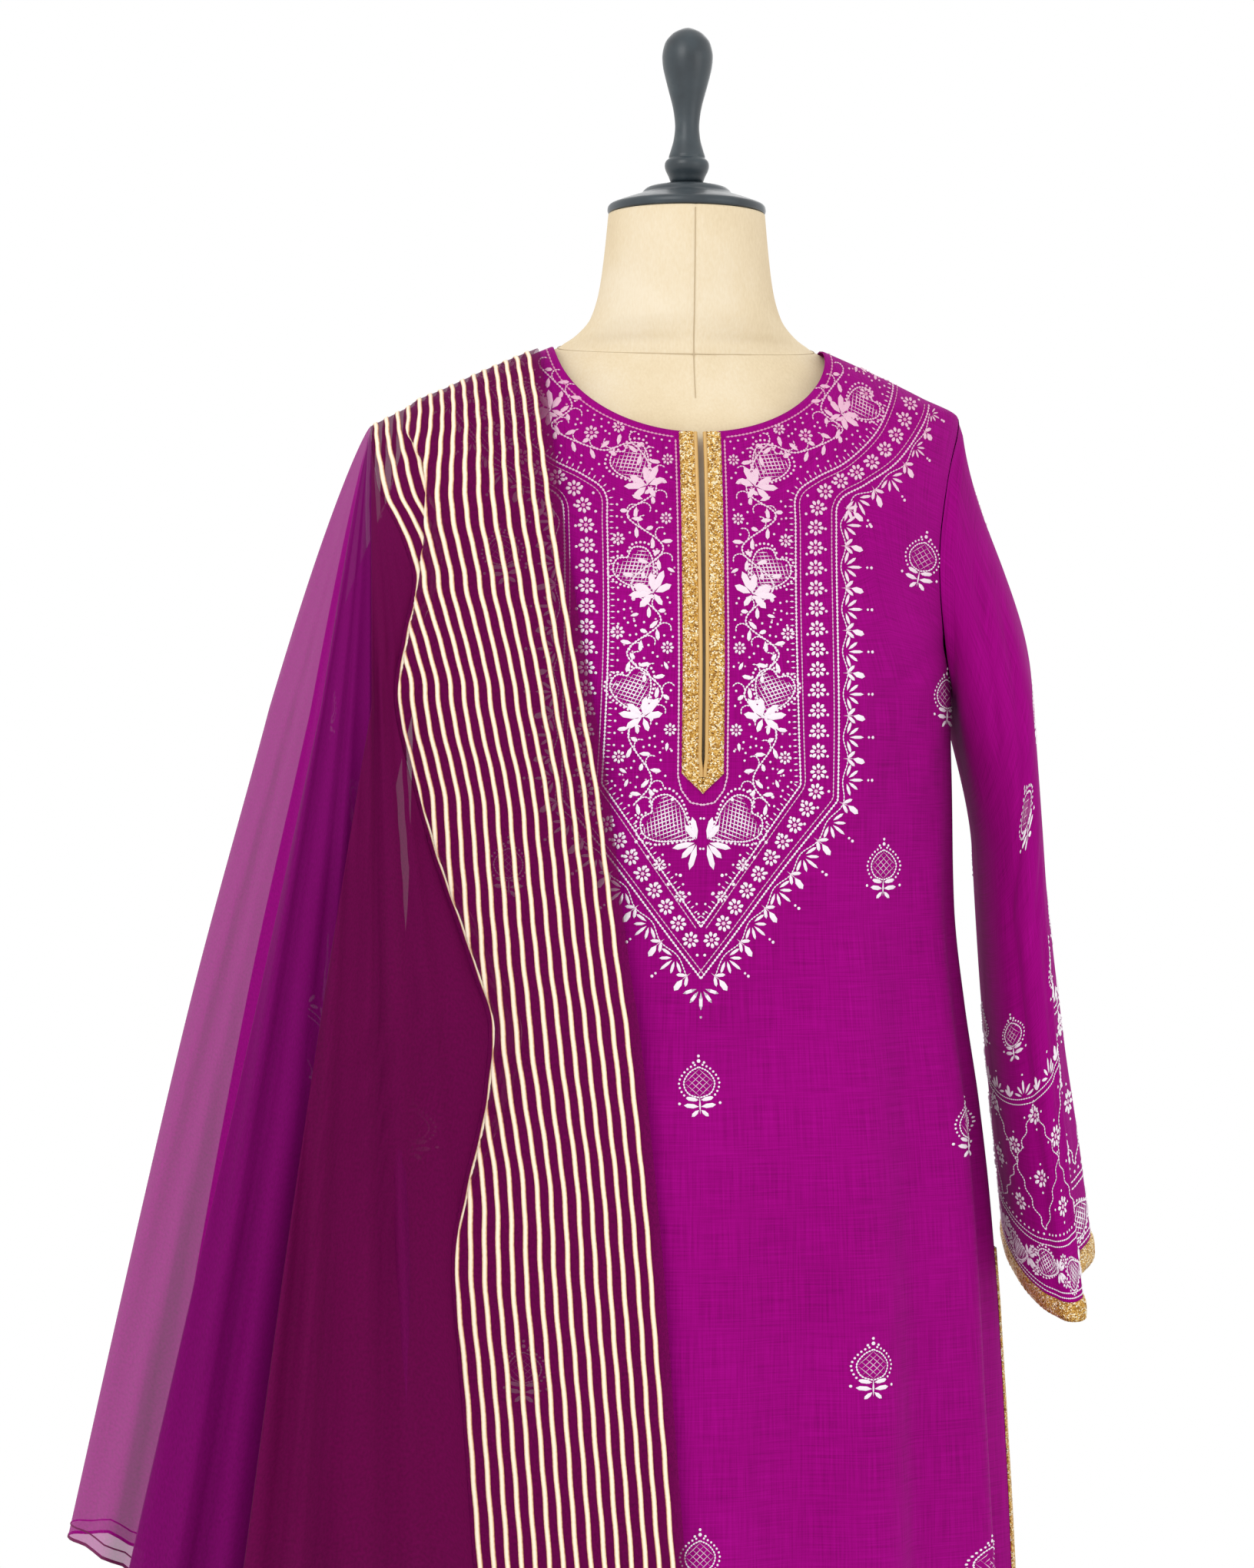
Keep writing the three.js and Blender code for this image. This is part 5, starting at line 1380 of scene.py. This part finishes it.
def work_sleeve(word, hand):
    """A sleeve's work, in mm round it from the outer line towards the front and mm up from the cuff."""
    st = Stitcher()
    whole = 2 * math.pi * SLEEVE_ROUND

    def ring(up):
        st.white.chain(np.array([(-whole / 2, up), (whole / 2, up)]), 2.5, 1.2)

    for up in (15, 18.5, 50, 54):
        ring(up)
    # The dense band over the lace: hatched leaf shapes between small flowers.
    count = 9
    for k in range(count):
        u = -whole / 2 + (k + 0.5) * whole / count
        base = np.array([u - 12, 33.0])
        st.bud(base, 0.2 if k % 2 else -0.2, 24, petals=False)
        for s in (-1, 1):
            for lean in (0.5, 1.1, 1.7):
                d = np.array([-math.cos(lean), s * math.sin(lean)])
                st.white.petal(base + d * 1.5, base + d * 9, 3.2)
        for up in (41.0, 26.0):
            st.rosette(np.array([u + 15.5, up]), 4.4)
    for k in range(60):
        st.white.dot(np.array([-whole / 2 + (k + 0.5) * whole / 60, 58.0]), 1.0)
    # The lattice of wiggly lines with a flower in each diamond.
    cells, low, high = 6, 61.0, 154.0
    w, h = whole / cells, 46.5
    for k in range(-3, cells + 3):
        for s in (1, -1):
            u = np.linspace(0, 1, 90)
            across = (k + s * u * (high - low) / h * 0.5) * w
            line = np.stack([across - whole / 2, low + u * (high - low)], 1)
            line[:, 0] += 1.6 * np.sin(u * 46)
            line = line[(line[:, 0] > -whole / 2) & (line[:, 0] < whole / 2)]
            if len(line) > 4:
                st.white.chain(line, 2.3, 1.1)
    for i in range(4):
        for k in range(cells):
            across = (k + (0.5 if i % 2 == 0 else 1.0)) * w
            c = np.array([across % whole - whole / 2, low + (i + 0.5) * (high - low) / 4 + 3])
            st.rosette(c, 7.0, i * 0.3)
            for q in range(4):
                a = q * math.pi / 2
                st.white.dot(c + toward(a) * 10.5, 0.95)
    for up in (155.5, 159.5):
        ring(up)
    for k in range(18):
        c = np.array([-whole / 2 + (k + 0.5) * whole / 18, 161.0])
        if k % 2:
            st.fingers(c, math.pi / 2, 13)
        else:
            st.leaf(c, c + [1.5, 10], 4.2)
            st.leaf(c, c + [5, 5.5], 2.6)
            st.leaf(c, c + [-5, 5.5], 2.6)
    for up, angles in ((208, (0.3, -0.95, -2.4, 1.7, 2.9)), (336, (-0.15, -1.6, 1.1, 2.3)), (458, (0.05,))):
        for a in angles:
            st.buti(np.array([-a * SLEEVE_ROUND, up]), math.pi / 2, SLEEVE_SPRIG_SIZE)

    def place(x, up, lift):
        return sleeve_at(-np.asarray(x) / SLEEVE_ROUND, np.clip(up, 1, SLEEVE_LENGTH), hand, lift)[0]

    st.lay(f"sleeve_{word}_work", place, flip=hand > 0)


# The scene
def area_light(name, place, target, size, power):
    data = bpy.data.lights.new(name, "AREA")
    data.shape = "SQUARE"
    data.size = size
    data.energy = power
    ob = bpy.data.objects.new(name, data)
    ob.location = place
    d = [t - p for t, p in zip(target, place)]
    flat = math.hypot(d[0], d[1])
    ob.rotation_euler = (math.atan2(flat, -d[2]), 0, math.atan2(-d[0], d[1]))
    bpy.context.scene.collection.objects.link(ob)


HANDS = (("left", 1), ("right", -1))
torso = build_form()
front = build_panel("kurta_front", -1, FRONT_NECK_Z)
back = build_panel("kurta_back", 1, BACK_NECK_Z)
sleeves = [build_sleeve(word, hand) for word, hand in HANDS]
front_laces, back_laces, cuff_laces = [], [], []
for word, hand in HANDS:
    cuff_laces.append(build_cuff_lace(word, hand))
    front_laces += [build_placket(word, hand), build_piping(word, hand)]
    front_laces.append(build_slit_trim(f"slit_trim_front_{word}", -1, hand))
    back_laces.append(build_slit_trim(f"slit_trim_back_{word}", 1, hand))
border = build_border()
braids = [build_braid(k) for k in range(1, BRAIDS + 1)]
field, hem = build_field()
work_yoke()
work_butis()
work_back()
for word, hand in HANDS:
    work_sleeve(word, hand)

# A white floor. It lies below the photo's frame.
corners = [(x, y, -0.2) for x, y in ((-2000, -2000), (2000, -2000), (2000, 2000), (-2000, 2000))]
white = Look("floor", (0.8, 0.8, 0.8), 0.9).mat
floor = mesh("studio_floor", np.array(corners), [(0, 1, 2, 3)], white, body=None)

world = bpy.data.worlds.new("studio")
bpy.context.scene.world = world
world.use_nodes = True
bg = world.node_tree.nodes["Background"]
bg.inputs["Color"].default_value = (1, 1, 1, 1)
bg.inputs["Strength"].default_value = 1.0
area_light("key", (-1.6, -2.4, 2.6), (-0.05, 0, 1.1), size=1.6, power=22)
area_light("fill", (2.2, -2.2, 1.6), (0, 0, 1.0), size=1.8, power=8)
area_light("rim", (0.6, 2.4, 2.4), (0, 0, 1.0), size=1.8, power=8)

bpy.context.scene.view_settings.view_transform = "Standard"
cam_data = bpy.data.cameras.new("camera")
cam_data.lens = 86.6
cam_data.sensor_width = 36
cam_data.sensor_fit = "AUTO"
cam_data.dof.use_dof = False
cam = bpy.data.objects.new("camera", cam_data)
cam.location = (-0.2876, -2.5843, 1.100)
cam.rotation_euler = (math.pi / 2, math.radians(-0.35), math.atan2(-0.0958, 0.9954))
bpy.context.scene.collection.objects.link(cam)
bpy.context.scene.camera = cam
